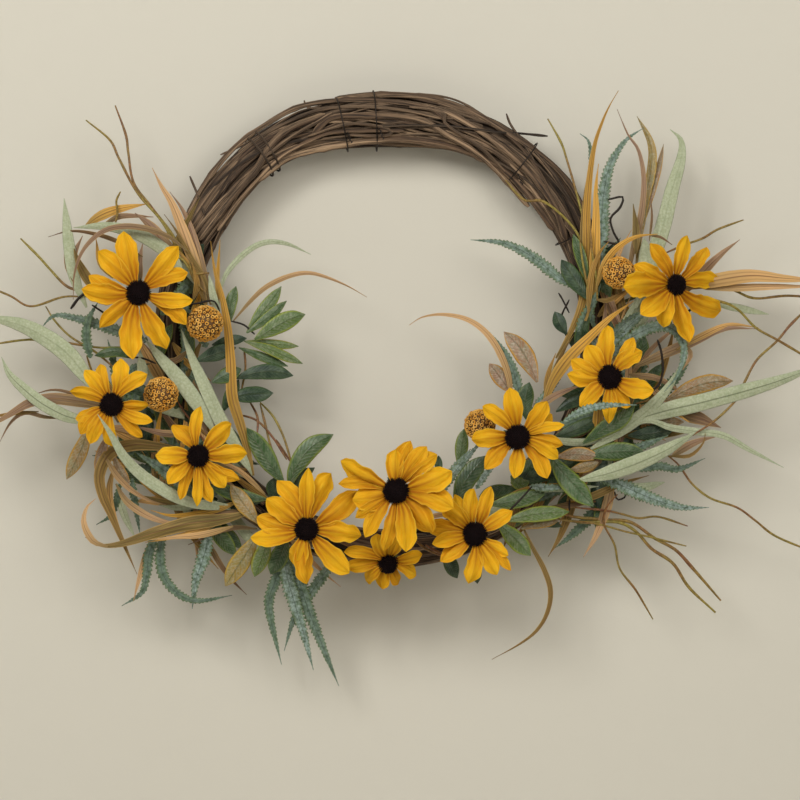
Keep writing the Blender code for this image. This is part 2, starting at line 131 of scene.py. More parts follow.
# Grain fixed to the object: plain, and as specks drawn out between two levels.
grain, size = shader_group("grain", ("Scale", "Detail", "Roughness", "Low", "High"), ("Plain", "Specks"))
noise = put(grain, "ShaderNodeTexNoise", {
    "Vector": put(grain, "ShaderNodeTexCoord").outputs["Object"],
    "Scale": size["Scale"], "Detail": size["Detail"], "Roughness": size["Roughness"],
}).outputs["Fac"]
put(grain, "NodeGroupOutput", {"Plain": noise, "Specks": ranged(grain, noise, size["Low"], size["High"])})


def grainy(tree, scale, detail):
    return grouped(tree, grain, {"Scale": scale, "Detail": detail, "Roughness": 0.5})["Plain"]


def mottle(tree, scale, low, high):
    """Specks and blotches of this scale, fixed to the object."""
    settings = {"Scale": scale, "Detail": 4.0, "Roughness": 0.6, "Low": low, "High": high}
    return grouped(tree, grain, settings)["Specks"]


def flat_plane(name, corners, finish):
    mesh = bpy.data.meshes.new(name)
    mesh.from_pydata(corners, [], [tuple(range(len(corners)))])
    mesh.materials.append(finish)
    made = bpy.data.objects.new(name, mesh)
    scene.collection.objects.link(made)
    return made


# The wall is clear from behind, so that the wreath's back can be seen through it.
wall_paint, tree, shader = new_finish("wall_paint", 0.9)
bumped(tree, shader, grainy(tree, 260.0, 3.0), 0.12, 0.0004)
coloured(tree, shader, mixed(tree, grainy(tree, 2.2, 2.0), *WALL_PAINT))
clear = put(tree, "ShaderNodeBsdfTransparent")
either = put(tree, "ShaderNodeMixShader", {0: put(tree, "ShaderNodeNewGeometry").outputs["Backfacing"]})
tree.links.new(shader.outputs[0], either.inputs[1])
tree.links.new(clear.outputs[0], either.inputs[2])
tree.links.new(either.outputs[0], tree.nodes["Material Output"].inputs["Surface"])
wall = flat_plane("wall", [
    (-HALF_ROOM, WALL_Y, FLOOR_Z), (HALF_ROOM, WALL_Y, FLOOR_Z),
    (HALF_ROOM, WALL_Y, WALL_TOP_Z), (-HALF_ROOM, WALL_Y, WALL_TOP_Z)], wall_paint)

floor_paint, tree, shader = new_finish("floor_paint", 0.8)
coloured(tree, shader, mixed(tree, grainy(tree, 40.0, 4.0), *FLOOR_PAINT))
floor = flat_plane("floor", [
    (-HALF_ROOM, -4, FLOOR_Z), (HALF_ROOM, -4, FLOOR_Z),
    (HALF_ROOM, HALF_ROOM, FLOOR_Z), (-HALF_ROOM, HALF_ROOM, FLOOR_Z)], floor_paint)

camera_data = bpy.data.cameras.new("camera")
camera_data.lens = 960
camera_data.sensor_width = 36
camera_data.clip_start = 0.05
camera = bpy.data.objects.new("camera", camera_data)
camera.location = (0.009, -16.04, -0.1873)
camera.rotation_euler = (math.radians(90), 0, 0)
scene.collection.objects.link(camera)
scene.camera = camera


def softbox(name, size, power, at, towards, colour):
    lamp = bpy.data.lights.new(name, "AREA")
    lamp.shape = "RECTANGLE"
    lamp.size, lamp.size_y = size
    lamp.energy = power
    lamp.color = colour
    made = bpy.data.objects.new(name, lamp)
    made.location = at
    made.rotation_euler = (Vector(towards) - Vector(at)).to_track_quat("-Z", "Y").to_euler()
    scene.collection.objects.link(made)


# Three soft lights in front, and one behind the clear side of the wall for the wreath's back.
softbox("left_softbox", (0.7, 0.7), 19, (-1.1, -1.8, 0.95), (0, 0, -0.2), (1, 0.985, 0.96))
softbox("right_softbox", (1.0, 1.0), 12, (1.3, -2.1, 0.5), (0, 0, -0.2), (1, 0.975, 0.94))
softbox("top_softbox", (2.0, 1.2), 18, (0.0, -2.0, 1.0), (0, 0, -0.15), (1, 0.99, 0.97))
softbox("back_softbox", (1.4, 1.4), 12, (0.4, 2.2, 0.4), (0, 0, -0.15), (1, 0.99, 0.97))
world = bpy.data.worlds.new("room_light")
world.use_nodes = True
world.node_tree.nodes["Background"].inputs["Color"].default_value = (0.95, 0.93, 0.90, 1)
world.node_tree.nodes["Background"].inputs["Strength"].default_value = 0.15
scene.world = world
scene.view_settings.view_transform = "Standard"


# ---------------------------------------------------------------- The grapevine ring
# Dried grapevines, 1 to 7 mm thick, wound into one bundle while green and left to set.
# Each vine keeps its knuckles, splits and stringy grey-brown bark, and no two are alike.

MM = 0.001
RING_CENTRE = Vector((0, 0, -0.13776))
RING_RADIUS = 0.1590
# Near-black for the splits and for the painted shade on vines deep in the bundle, then brown, then the pale
# ridges.
BARK = ((0.008, 0.005, 0.003), (0.165, 0.094, 0.050), (0.500, 0.335, 0.195))
THICK_VINES, THICK_HALVES = 24, (0.0015, 0.0029)
THIN_VINES, THIN_HALVES = 64, (0.0006, 0.0014)
INNER_VINES, INNER_HALF = 7, 0.0048
BUNDLE_SHARES = (0.99, 0.90, 0.62)
DEGREES_A_STEP = 6
VINE_STEP = 0.0055


def spot(x, z, depth):
    """A place x mm right of the hook, z mm above it, and depth mm in front of the ring's middle."""
    return Vector((x * MM, -depth * MM, z * MM))


def smooth(points, step):
    """Evenly spaced places on a smooth line through these places."""
    ends = [2 * points[0] - points[1], *points, 2 * points[-1] - points[-2]]
    line = []
    for a, b, c, d in zip(ends, ends[1:], ends[2:], ends[3:]):
        for i in range(14):
            t = i / 14
            bend = (2 * a - 5 * b + 4 * c - d) * t + (3 * b - a - 3 * c + d) * t * t
            line.append(b + 0.5 * t * ((c - a) + bend))
    line.append(points[-1])
    runs = [0.0]
    for p, q in zip(line, line[1:]):
        runs.append(runs[-1] + (q - p).length)
    count = max(7, round(runs[-1] / step))
    even, at = [], 0
    for i in range(count + 1):
        want = runs[-1] * i / count
        while at < len(line) - 2 and runs[at + 1] < want:
            at += 1
        span = max(runs[at + 1] - runs[at], 1e-9)
        even.append(line[at].lerp(line[at + 1], (want - runs[at]) / span))
    return even


def centre_lines(name, rows):
    """Bare lines that carry what a sweep needs; a row is a line, half width, tone and two twists."""
    places, edges = [], []
    values = {"half": [], "along": [], "run": [], "tone": []}
    sides, faces = [], []
    for line, half, tone, (root_twist, tip_twist) in rows:
        first, run = len(places), 0.0
        for i, place in enumerate(line):
            tangent = (line[min(i + 1, len(line) - 1)] - line[max(i - 1, 0)]).normalized()
            run += (place - line[max(i - 1, 0)]).length
            along = i / (len(line) - 1)
            front = Vector((0, -1, 0))
            front = (front - tangent * tangent.dot(front)).normalized()
            twist = math.radians(root_twist + (tip_twist - root_twist) * along)
            front = Matrix.Rotation(twist, 3, tangent) @ front
            places.append(place)
            values["half"].append(half)
            values["along"].append(along)
            values["run"].append(run)
            values["tone"].append(tone)
            faces.append(front)
            sides.append(tangent.cross(front).normalized())
            if i:
                edges.append((first + i - 1, first + i))
    mesh = bpy.data.meshes.new(name)
    mesh.from_pydata(places, edges, [])
    for key, numbers in values.items():
        mesh.attributes.new(key, "FLOAT", "POINT").data.foreach_set("value", numbers)
    for key, vectors in (("side", sides), ("front", faces)):
        flat = [number for vector in vectors for number in vector]
        mesh.attributes.new(key, "FLOAT_VECTOR", "POINT").data.foreach_set("vector", flat)
    return mesh


def sized_tree(name, sizes):
    """A Geometry Nodes tree with these named sizes, and the outputs of its Group Input."""
    tree = bpy.data.node_groups.new(name, "GeometryNodeTree")
    tree.interface.new_socket("Geometry", in_out="OUTPUT", socket_type="NodeSocketGeometry")
    tree.interface.new_socket("Geometry", in_out="INPUT", socket_type="NodeSocketGeometry")
    for label, value in sizes.items():
        made = tree.interface.new_socket(label, in_out="INPUT", socket_type="NodeSocketFloat")
        made.default_value = value
    tree.interface.new_socket("Material", in_out="INPUT", socket_type="NodeSocketMaterial")
    return tree, put(tree, "NodeGroupInput").outputs


def carried(tree, name, kind="FLOAT"):
    """What a centre line carries under this name."""
    return put(tree, "GeometryNodeInputNamedAttribute", {"Name": name}, data_type=kind).outputs["Attribute"]


def kept(tree, geometry, name, value, domain="POINT"):
    """Stores a value on the geometry for the material to read."""
    made = put(tree, "GeometryNodeStoreNamedAttribute", {"Geometry": geometry, "Name": name}, domain=domain)
    tree.links.new(value, made.inputs["Value"])
    return made.outputs[0]


def end_tree(tree, geometry, material):
    """Every tree ends as one plain smooth mesh with its material."""
    shaded = put(tree, "GeometryNodeSetShadeSmooth", {"Geometry": geometry})
    real = put(tree, "GeometryNodeRealizeInstances", {"Geometry": shaded.outputs[0]})
    done = put(tree, "GeometryNodeSetMaterial", {"Geometry": real.outputs[0], "Material": material})
    put(tree, "NodeGroupOutput", {"Geometry": done.outputs[0]})


def swept(tree, inputs, half, profile):
    """Sweeps a profile along the centre lines, half as wide as given to each side."""
    curve = put(tree, "GeometryNodeMeshToCurve", {"Mesh": inputs["Geometry"]})
    side = carried(tree, "side", "FLOAT_VECTOR")
    turned = put(tree, "GeometryNodeSetCurveNormal", {"Curve": curve.outputs[0], "Normal": side}, mode="FREE")
    sweep = put(tree, "GeometryNodeCurveToMesh", {"Curve": turned.outputs[0], "Profile Curve": profile})
    sweep.inputs["Fill Caps"].default_value = True
    tree.links.new(half, sweep.inputs["Scale"])
    return sweep.outputs["Mesh"]


def grown(name, source, tree, finish, sizes):
    """The plain mesh that a tree makes from its source, as one finished piece."""
    raw = bpy.data.objects.new(name + "_source", source)
    scene.collection.objects.link(raw)
    maker = raw.modifiers.new("maker", "NODES")
    maker.node_group = tree
    for item in tree.interface.items_tree:
        if item.in_out == "INPUT" and item.name in sizes:
            maker[item.identifier] = float(sizes[item.name])
        elif item.in_out == "INPUT" and item.name == "Material":
            maker[item.identifier] = finish
    graph = bpy.context.evaluated_depsgraph_get()
    mesh = bpy.data.meshes.new_from_object(raw.evaluated_get(graph))
    bpy.data.objects.remove(raw, do_unlink=True)
    made = bpy.data.objects.new(name, mesh)
    scene.collection.objects.link(made)
    return made


def round_profile(tree, sides):
    """A unit circle that keeps its place round the section as 'across'."""
    circle = put(tree, "GeometryNodeCurvePrimitiveCircle", {"Resolution": sides, "Radius": 1.0})
    index = put(tree, "GeometryNodeInputIndex").outputs[0]
    return kept(tree, circle.outputs[0], "across", calc(tree, "DIVIDE", index, float(sides)))


vine_tree, size = sized_tree("vine_from_its_line", {
    "Knuckle Height": 0.25, "Knuckle Spacing": 0.06, "Lumps": 0.25, "Splits": 0.0006, "Tip Share": 0.04,
    "Seed": 1.0,
})
run, tone = carried(vine_tree, "run"), carried(vine_tree, "tone")
phase = total(vine_tree, calc(vine_tree, "DIVIDE", run, size["Knuckle Spacing"]),
             product(vine_tree, tone, 7.3))
swing = calc(vine_tree, "ABSOLUTE", calc(vine_tree, "COSINE", product(vine_tree, phase, math.pi)))
knuckle = product(vine_tree, calc(vine_tree, "POWER", swing, 24.0), size["Knuckle Height"])
here = put(vine_tree, "GeometryNodeInputPosition").outputs[0]
lump = put(vine_tree, "ShaderNodeTexNoise", {"Vector": here, "Scale": 70.0, "Detail": 2.0})
lumpy = product(vine_tree, calc(vine_tree, "SUBTRACT", lump.outputs["Fac"], 0.5), size["Lumps"])
along = carried(vine_tree, "along")
to_end = calc(vine_tree, "MINIMUM", along, calc(vine_tree, "SUBTRACT", 1.0, along))
taper = calc(vine_tree, "MINIMUM",
             total(vine_tree, calc(vine_tree, "DIVIDE", to_end, size["Tip Share"]), 0.55), 1.0)
girth = total(vine_tree, 1.0, knuckle, lumpy)
girth = product(vine_tree, girth, taper, carried(vine_tree, "half"))
body = swept(vine_tree, size, girth, round_profile(vine_tree, 11))
ring_round = product(vine_tree, carried(vine_tree, "across"), 2 * math.pi)
combine = put(vine_tree, "ShaderNodeCombineXYZ", {
    "X": product(vine_tree, calc(vine_tree, "COSINE", ring_round), 1.6),
    "Y": product(vine_tree, calc(vine_tree, "SINE", ring_round), 1.6),
    "Z": product(vine_tree, carried(vine_tree, "run"), 55.0),
})
split = put(vine_tree, "ShaderNodeTexNoise", {"Vector": combine.outputs[0], "W": size["Seed"], "Scale": 1.4},
            noise_dimensions="4D")
push = product(vine_tree, calc(vine_tree, "SUBTRACT", split.outputs["Fac"], 0.5), size["Splits"])
normal = put(vine_tree, "GeometryNodeInputNormal").outputs[0]
offset = put(vine_tree, "ShaderNodeVectorMath", {0: normal, "Scale": push}, operation="SCALE")
rough = put(vine_tree, "GeometryNodeSetPosition", {"Geometry": body, "Offset": offset.outputs[0]})
end_tree(vine_tree, rough.outputs[0], size["Material"])


def on_mesh(tree, name):
    """A value that the piece's own mesh carries."""
    return put(tree, "ShaderNodeAttribute", attribute_name=name).outputs["Fac"]


# Bark: dark splits and pale stringy ridges that run lengthwise, each vine its own shade.
# The tone also carries painted shade: vines deep in the bundle are painted darker.
bark, tree, shader = new_finish("grapevine_bark", 0.85)
across = product(tree, on_mesh(tree, "across"), 2 * math.pi)
run = on_mesh(tree, "run")
tone = on_mesh(tree, "tone")
wound = put(tree, "ShaderNodeCombineXYZ", {
    "X": calc(tree, "COSINE", across),
    "Y": calc(tree, "SINE", across),
    "Z": total(tree, product(tree, run, 12.0), product(tree, tone, 50.0)),
})
fibres = put(tree, "ShaderNodeTexNoise",
             {"Vector": wound.outputs[0], "Scale": 3.4, "Detail": 5.0, "Roughness": 0.65})
blotch = put(tree, "ShaderNodeTexNoise", {"Vector": wound.outputs[0], "Scale": 0.7, "Detail": 2.0})
stripe = ranged(tree, fibres.outputs["Fac"], 0.36, 0.64)
patch = ranged(tree, blotch.outputs["Fac"], 0.42, 0.66)
# A low tone paints shade: vines deep in the bundle get more near-black and fewer pale ridges.
shaded = product(tree, stripe, total(tree, product(tree, tone, 0.85), 0.15))
brown = mixed(tree, shaded, BARK[0], BARK[1])
pale = product(tree, patch, stripe, total(tree, tone, 0.35))
coloured(tree, shader, mixed(tree, pale, brown, BARK[2]))
bumped(tree, shader, fibres.outputs["Fac"], 0.55, 0.0006)


def ring_spot(degrees, out, forward):
    """A place at this angle clockwise from the top, out from the bundle's middle and forward of it."""
    turn = math.radians(degrees)
    reach = RING_RADIUS + out
    return RING_CENTRE + Vector((reach * math.sin(turn), -forward, reach * math.cos(turn)))


def bundle(degrees):
    """How far out the bundle's middle lies here, and half its width and depth: it is wide at
    the top, and pulled in and outwards on both shoulders."""
    degrees = (degrees + 180) % 360 - 180
    top = math.exp(-((degrees / 17) ** 2))
    shoulder = math.exp(-(((abs(degrees) - 32) / 15) ** 2))
    return 0.0015 + 0.0045 * shoulder, 0.0152 + 0.0052 * top, 0.0162 + 0.0026 * top


def wound_vine(chance, start, sweep, phase, winding, share, thick):
    """A vine that winds slowly round the bundle over part of the ring."""
    line = []
    steps = max(6, round(abs(sweep) / DEGREES_A_STEP))
    drift = [chance.uniform(-1, 1) for _ in range(4)]
    for i in range(steps + 1):
        degrees = start + sweep * i / steps
        turn = math.radians(degrees)
        wave = drift[0] * math.sin(turn * 3 + drift[1] * 3) * 0.22
        wave += drift[2] * math.sin(turn * 7 + drift[3] * 3) * 0.09
        angle = phase + winding * turn + wave
        middle, wide, deep = bundle(degrees)
        out = middle + (wide - thick) * share * math.cos(angle)
        line.append(ring_spot(degrees, out, (deep - thick) * share * math.sin(angle)))
    return smooth(line, VINE_STEP)


chance = random.Random(14)
thick_rows, thin_rows = [], []
# A wound vine's tone falls with its share of the bundle squared, so vines that wind deeper are painted darker
# as shade.
for i in range(THICK_VINES):
    thick = chance.uniform(*THICK_HALVES)
    share = BUNDLE_SHARES[i % len(BUNDLE_SHARES)]
    start = 180 + chance.uniform(-70, 70)
    sweep, phase = chance.uniform(330, 352), i * 2.399
    line = wound_vine(chance, start, sweep, phase, chance.uniform(0.2, 1.3), share, thick)
    thick_rows.append((line, thick, share * share * chance.uniform(0.35, 1.0), (0, 0)))
for i in range(THIN_VINES):
    thick = chance.uniform(*THIN_HALVES)
    start = chance.uniform(-120, 60)
    sweep, phase = chance.uniform(40, 130), chance.uniform(0, 6.3)
    winding, share = chance.uniform(-2.2, 2.6), chance.uniform(0.92, 1.04)
    line = wound_vine(chance, start, sweep, phase, winding, share, thick)
    thin_rows.append((line, thick, chance.random(), (0, 0)))


def on_front(x, z, lift):
    """A plan place on the bundle's front, lift mm in front of the vines that wind there."""
    from_centre = Vector((x * MM, 0, z * MM)) - RING_CENTRE
    middle, wide, deep = bundle(math.degrees(math.atan2(from_centre.x, from_centre.z)))
    share = (from_centre.length - RING_RADIUS - middle) / wide
    return spot(x, z, deep / MM * math.sqrt(1 - min(share * share, 0.93)) + lift)


# Vines that lie on top, and broken ends that stick out: half thickness in mm, tone, lift in
# mm off the vines behind, and places.
FRONT_VINES = (
    (3.2, 0.9, -1.0, ((-98, -22), (-78, -6), (-56, 1), (-34, 5), (-13, 8), (9, 9), (30, 7), (52, 2),
                      (69, -4), (87, -14), (106, -33), (125, -59))),
    (2.3, 0.8, 0.5, ((-56, 13), (-41, 25), (-13, 26), (13, 25), (30, 21), (44, 12), (63, 1), (84, -17),
                     (106, -42))),
    (2.3, 0.7, -0.5, ((-40, 39), (-13, 42), (9, 42), (30, 40), (52, 34), (74, 23), (95, 10), (117, -5),
                      (134, -22), (147, -44), (155, -63))),
    (2.7, 0.6, 0.0, ((-142, -67), (-129, -50), (-114, -31), (-99, -14), (-88, 4), (-73, 17), (-47, 27))),
    (2.0, 0.7, 0.5, ((-151, -48), (-136, -22), (-116, 2), (-93, 19), (-67, 33), (-34, 38), (0, 37),
                     (30, 32), (43, 23))),
    (2.4, 0.8, 0.0, ((134, -67), (125, -42), (108, -18), (86, 2), (65, 17), (41, 30), (17, 35))),
    (1.5, 0.9, 1.0, ((-128, -60), (-114, -40), (-98, -21), (-80, -4), (-58, 8), (-40, 14), (-14, 15),
                     (12, 15))),
    (1.3, 0.5, 1.5, ((-92, -4), (-70, 12), (-52, 22), (-42, 28))),
    (1.3, 0.6, 2.0, ((16, 33), (32, 31), (43, 27), (42, 22), (50, 15), (70, 2), (92, -20))),
    (1.2, 0.6, 1.5, ((-60, 11), (-30, 20), (-6, 18), (3, 13), (-8, 11), (-30, 12))),
    (1.4, 0.4, 0.5, ((-118, -8), (-96, 10), (-74, 22), (-50, 31), (-20, 33), (14, 30), (40, 24))),
    (0.9, 0.0, 2.0, ((-4, 18), (20, 19), (50, 18), (80, 14), (100, 13), (120, 11))),
    (0.9, 0.3, 0.0, ((89, 28), (92, 20), (100, 8), (110, -8))),
    (0.8, 0.4, 0.0, ((-63, 38), (-61, 33), (-52, 32), (-30, 33))),
    (0.9, 0.3, 0.0, ((-149, -19), (-146, -26), (-142, -36), (-138, -48))),
    (0.8, 0.4, 0.5, ((20, 43), (40, 41), (56, 36), (76, 24), (96, 12))),
    (0.8, 0.5, 1.0, ((-126, -3), (-110, 4), (-92, 14), (-70, 28), (-50, 34))),
)
# The core vines get tone 0: painted shade, near-black, deep in the bundle.
for i in range(INNER_VINES):
    line = wound_vine(chance, 180 + 9 * i, 350, i * 0.9, 0.4, 0.42, 0.005)
    thick_rows.append((line, INNER_HALF, 0.0, (0, 0)))
for thick, tone, lift, points in FRONT_VINES:
    line = smooth([on_front(x, z, lift) for x, z in points], 0.0035)
    thin_rows.append((line, thick * MM, tone, (0, 0)))
thick_vines = grown("thick_vines", centre_lines("thick_vines", thick_rows), vine_tree, bark,
                    {"Seed": 3, "Tip Share": 0.01})
thin_vines = grown("thin_vines", centre_lines("thin_vines", thin_rows), vine_tree, bark,
                   {"Seed": 8, "Splits": 0.0003, "Knuckle Spacing": 0.04, "Tip Share": 0.02})
for piece in (thick_vines, thin_vines):
    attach(piece, wreath)
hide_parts("core_vine", *[f"vine_{i}" for i in range(1, 10)])


# ---------------------------------------------------------------- The binding wires
# Dark annealed wire bent round the bundle and twisted off at the front, and one thin
# vine wound the same way on the left shoulder.

TIES = ((-12.4, 1), (-3.5, 2), (38, 3), (62, 4))
TIE_STEPS, TIE_TURNS, TIE_START = 24, 1.06, -1.4
WIRE_HALF = 0.0005
WRAP_DEGREES, WRAP_APART, WRAP_HALF = -36, 2.4, 0.0008
wire_finish, tree, shader = new_finish("annealed_wire", 0.5)
shader.inputs["Metallic"].default_value = 0.7
oxide = grainy(tree, 900.0, 3.0)
coloured(tree, shader, mixed(tree, oxide, (0.010, 0.009, 0.008), (0.055, 0.040, 0.030)))
bumped(tree, shader, oxide, 0.3, 0.0002)


def tie_line(degrees, spare, slant):
    """Once round the bundle and a little past, this far clear of it."""
    line = []
    for i in range(TIE_STEPS + 1):
        turn = 2 * math.pi * (i / TIE_STEPS) * TIE_TURNS + TIE_START
        here = degrees + slant * math.sin(turn)
        middle, wide, deep = bundle(here)
        out = middle + (wide + spare) * math.cos(turn)
        line.append(ring_spot(here, out, (deep + spare) * math.sin(turn)))
    return line


for degrees, number in TIES:
    loop = smooth(tie_line(degrees, 0.0026, 0.4), 0.003)
    knot = ring_spot(degrees + 1.0, -0.004, bundle(degrees)[2] + 0.0028)
    twisted = []
    for i in range(30):
        turn = i * 0.75
        swirl = (0.0007 * math.cos(turn) + i * 0.00012, -0.0005 * math.sin(turn) - 0.0006, -i * 0.0003)
        twisted.append(knot + Vector(swirl))
    rows = [(loop, WIRE_HALF, 0.4, (0, 0)), (smooth(twisted, 0.0008), 0.9 * WIRE_HALF, 0.4, (0, 0))]
    piece = grown(f"binding_wire_{number}", centre_lines("wire", rows), vine_tree, wire_finish,
                  {"Knuckle Height": 0, "Lumps": 0.05, "Splits": 0, "Tip Share": 0.01})
    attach(piece, wreath)
    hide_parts(f"tie_wire_{number}")
wrap_rows = [
    (smooth(tie_line(WRAP_DEGREES + lean, 0.0020, 1.2), 0.003), WRAP_HALF, 0.1, (0, 0))
    for lean in (0, WRAP_APART)
]
vine_wrap = grown("shoulder_wrap", centre_lines("wrap", wrap_rows), vine_tree, bark,
                  {"Splits": 0.0002, "Knuckle Height": 0.1})
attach(vine_wrap, wreath)
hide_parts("vine_wrap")


# ---------------------------------------------------------------- Pale sage blades
# Long blades of matte printed fabric, pale grey-green and finely mottled, each stiffened
# by a wire under its midrib. The bunches are wired to the ring behind the flowers.

blade_tree, size = sized_tree("blade_from_its_midrib", {
    "Thickness": 0.06, "Fold": 0.15, "Creases": 0.0, "Crease Depth": 0.0,
    "Widest At": 0.4, "Base Width": 0.35, "Tip Power": 1.6,
    "Tooth Depth": 0.0, "Tooth Length": 0.0035, "Ripple": 0.0006, "Ruffle": 0.12, "Seed": 1.0,
})
along, run, half = carried(blade_tree, "along"), carried(blade_tree, "run"), carried(blade_tree, "half")
rise = calc(blade_tree, "MINIMUM", calc(blade_tree, "DIVIDE", along, size["Widest At"]), 1.0)
rise = calc(blade_tree, "SINE", product(blade_tree, rise, math.pi / 2))
rest = calc(blade_tree, "SUBTRACT", 1.0, size["Base Width"])
rise = total(blade_tree, size["Base Width"], product(blade_tree, rise, rest))
past = calc(blade_tree, "MAXIMUM", calc(blade_tree, "SUBTRACT", along, size["Widest At"]), 0.0)
past = calc(blade_tree, "DIVIDE", past, calc(blade_tree, "SUBTRACT", 1.0, size["Widest At"]))
fall = calc(blade_tree, "SUBTRACT", 1.0, calc(blade_tree, "POWER", past, size["Tip Power"]))
tooth = calc(blade_tree, "FRACT", calc(blade_tree, "DIVIDE", run, size["Tooth Length"]))
width = product(blade_tree, rise, fall, half)
own_place = put(blade_tree, "ShaderNodeCombineXYZ", {
    "X": product(blade_tree, run, 130.0), "Y": product(blade_tree, carried(blade_tree, "tone"), 90.0)})
uneven = put(blade_tree, "ShaderNodeTexNoise", {"Vector": own_place.outputs[0], "Scale": 1.0, "Detail": 1.0})
uneven = product(blade_tree, calc(blade_tree, "SUBTRACT", uneven.outputs["Fac"], 0.5), size["Ruffle"])
width = product(blade_tree, width, total(blade_tree, uneven, 1.0))
width = calc(blade_tree, "MAXIMUM", width, 0.00025)
circle = put(blade_tree, "GeometryNodeCurvePrimitiveCircle", {"Resolution": 16, "Radius": 1.0})
apart = put(blade_tree, "ShaderNodeSeparateXYZ", {0: put(blade_tree, "GeometryNodeInputPosition").outputs[0]})
out = calc(blade_tree, "ABSOLUTE", apart.outputs["X"])
crease = calc(blade_tree, "COSINE", product(blade_tree, out, size["Creases"], math.pi))
crease = product(blade_tree, crease, product(blade_tree, size["Crease Depth"], -1.0))
height = total(blade_tree, product(blade_tree, out, size["Fold"]), crease)
height = total(blade_tree, height, product(blade_tree, apart.outputs["Y"], size["Thickness"]))
flat = put(blade_tree, "ShaderNodeCombineXYZ", {"X": apart.outputs["X"], "Y": height})
section = put(blade_tree, "GeometryNodeSetPosition",
              {"Geometry": circle.outputs[0], "Position": flat.outputs[0]})
section = kept(blade_tree, section.outputs[0], "across", apart.outputs["X"])
body = swept(blade_tree, size, width, section)
here = put(blade_tree, "GeometryNodeInputPosition").outputs[0]
wave = put(blade_tree, "ShaderNodeTexNoise",
           {"Vector": here, "W": size["Seed"], "Scale": 45.0, "Detail": 1.0},
           noise_dimensions="4D")
wave = product(blade_tree, calc(blade_tree, "SUBTRACT", wave.outputs["Fac"], 0.5), size["Ripple"])
offset = put(blade_tree, "ShaderNodeVectorMath",
             {0: carried(blade_tree, "front", "FLOAT_VECTOR"), "Scale": wave},
             operation="SCALE")
rim = calc(blade_tree, "POWER", calc(blade_tree, "ABSOLUTE", carried(blade_tree, "across")), 6.0)
rim = product(blade_tree, rim, calc(blade_tree, "SIGN", carried(blade_tree, "across")))
tooth = product(blade_tree, tooth, half, size["Tooth Depth"])
tooth = put(blade_tree, "ShaderNodeVectorMath", {
    0: carried(blade_tree, "side", "FLOAT_VECTOR"), "Scale": product(blade_tree, rim, tooth, fall)},
    operation="SCALE")
offset = put(blade_tree, "ShaderNodeVectorMath", {0: offset.outputs[0], 1: tooth.outputs[0]}, operation="ADD")
rippled = put(blade_tree, "GeometryNodeSetPosition", {"Geometry": body, "Offset": offset.outputs[0]})
end_tree(blade_tree, rippled.outputs[0], size["Material"])


# Midrib and slanted side veins, from a leaf's own length and width.
veins, size = shader_group("leaf_veins", ("Along", "Across", "Pairs", "Slant"), ("Midrib", "Side Veins"))
out = calc(veins, "ABSOLUTE", size["Across"])
midrib = calc(veins, "SUBTRACT", 1.0, calc(veins, "MINIMUM", calc(veins, "DIVIDE", out, 0.13), 1.0))
lane = calc(veins, "SUBTRACT", product(veins, size["Along"], size["Pairs"]),
            product(veins, out, size["Slant"]))
lane = calc(veins, "ABSOLUTE", calc(veins, "SUBTRACT", calc(veins, "FRACT", lane), 0.5))
lane = calc(veins, "SUBTRACT", 1.0, calc(veins, "MINIMUM", calc(veins, "DIVIDE", lane, 0.16), 1.0))
put(veins, "NodeGroupOutput", {"Midrib": midrib, "Side Veins": lane})

# Lengthwise ribs, and the fine stretched streaks between them, as on grass and petals.
ribs, size = shader_group("lengthwise_ribs", ("Run", "Across", "Ribs", "Leaf", "Streak Length"),
                          ("Ribs", "Streaks"))
rib = calc(ribs, "COSINE", product(ribs, size["Across"], size["Ribs"], math.pi))
streak_at = put(ribs, "ShaderNodeCombineXYZ", {
    "X": product(ribs, size["Across"], 5.0),
    "Y": calc(ribs, "DIVIDE", size["Run"], size["Streak Length"]),
    "Z": product(ribs, size["Leaf"], 40.0),
})
streak = put(ribs, "ShaderNodeTexNoise", {"Vector": streak_at.outputs[0], "Scale": 1.2, "Detail": 4.0})
put(ribs, "NodeGroupOutput", {"Ribs": total(ribs, product(ribs, rib, 0.5), 0.5),
                              "Streaks": streak.outputs["Fac"]})


def leaf_values(tree):
    """What the leaf sweep leaves on the mesh: along, across, run and tone."""
    return [on_mesh(tree, name) for name in ("along", "across", "run", "tone")]


def tint(red, green, blue):
    """A colour as a paint chart gives it, 0 to 255."""
    return tuple((value / 255) ** 2.2 for value in (red, green, blue))


def tone_ramp(tree, tone, shades):
    """The colour that each leaf's tone stands for, as a place and a chart colour each."""
    stops = put(tree, "ShaderNodeValToRGB", {0: tone})
    while len(stops.color_ramp.elements) < len(shades):
        stops.color_ramp.elements.new(0.5)
    for stop, (place, colour) in zip(stops.color_ramp.elements, shades):
        stop.position = place
        stop.color = (*tint(*colour), 1)
    return stops.outputs[0]


sage, tree, shader = new_finish("sage_fabric", 0.85)
shader.inputs["Sheen Weight"].default_value = 0.25
along, across, run, tone = leaf_values(tree)
lines = grouped(tree, ribs, {"Run": run, "Across": across, "Ribs": 5.0, "Leaf": tone, "Streak Length": 0.018})
vein = grouped(tree, veins, {"Along": along, "Across": across, "Pairs": 16.0, "Slant": 2.4})
pale = mixed(tree, mottle(tree, 620, 0.38, 0.66), tint(168, 174, 140), tint(194, 199, 168))
pale = mixed(tree, product(tree, mottle(tree, 130, 0.52, 0.76), 0.55), pale, tint(132, 144, 106))
pale = mixed(tree, product(tree, lines["Streaks"], 0.35), pale, tint(142, 156, 112))
pale = mixed(tree, product(tree, vein["Midrib"], tone, 0.85), pale, tint(74, 80, 48))
coloured(tree, shader, pale)
bumped(tree, shader, total(tree, lines["Ribs"], product(tree, lines["Streaks"], 2.0)), 0.35, 0.0003)

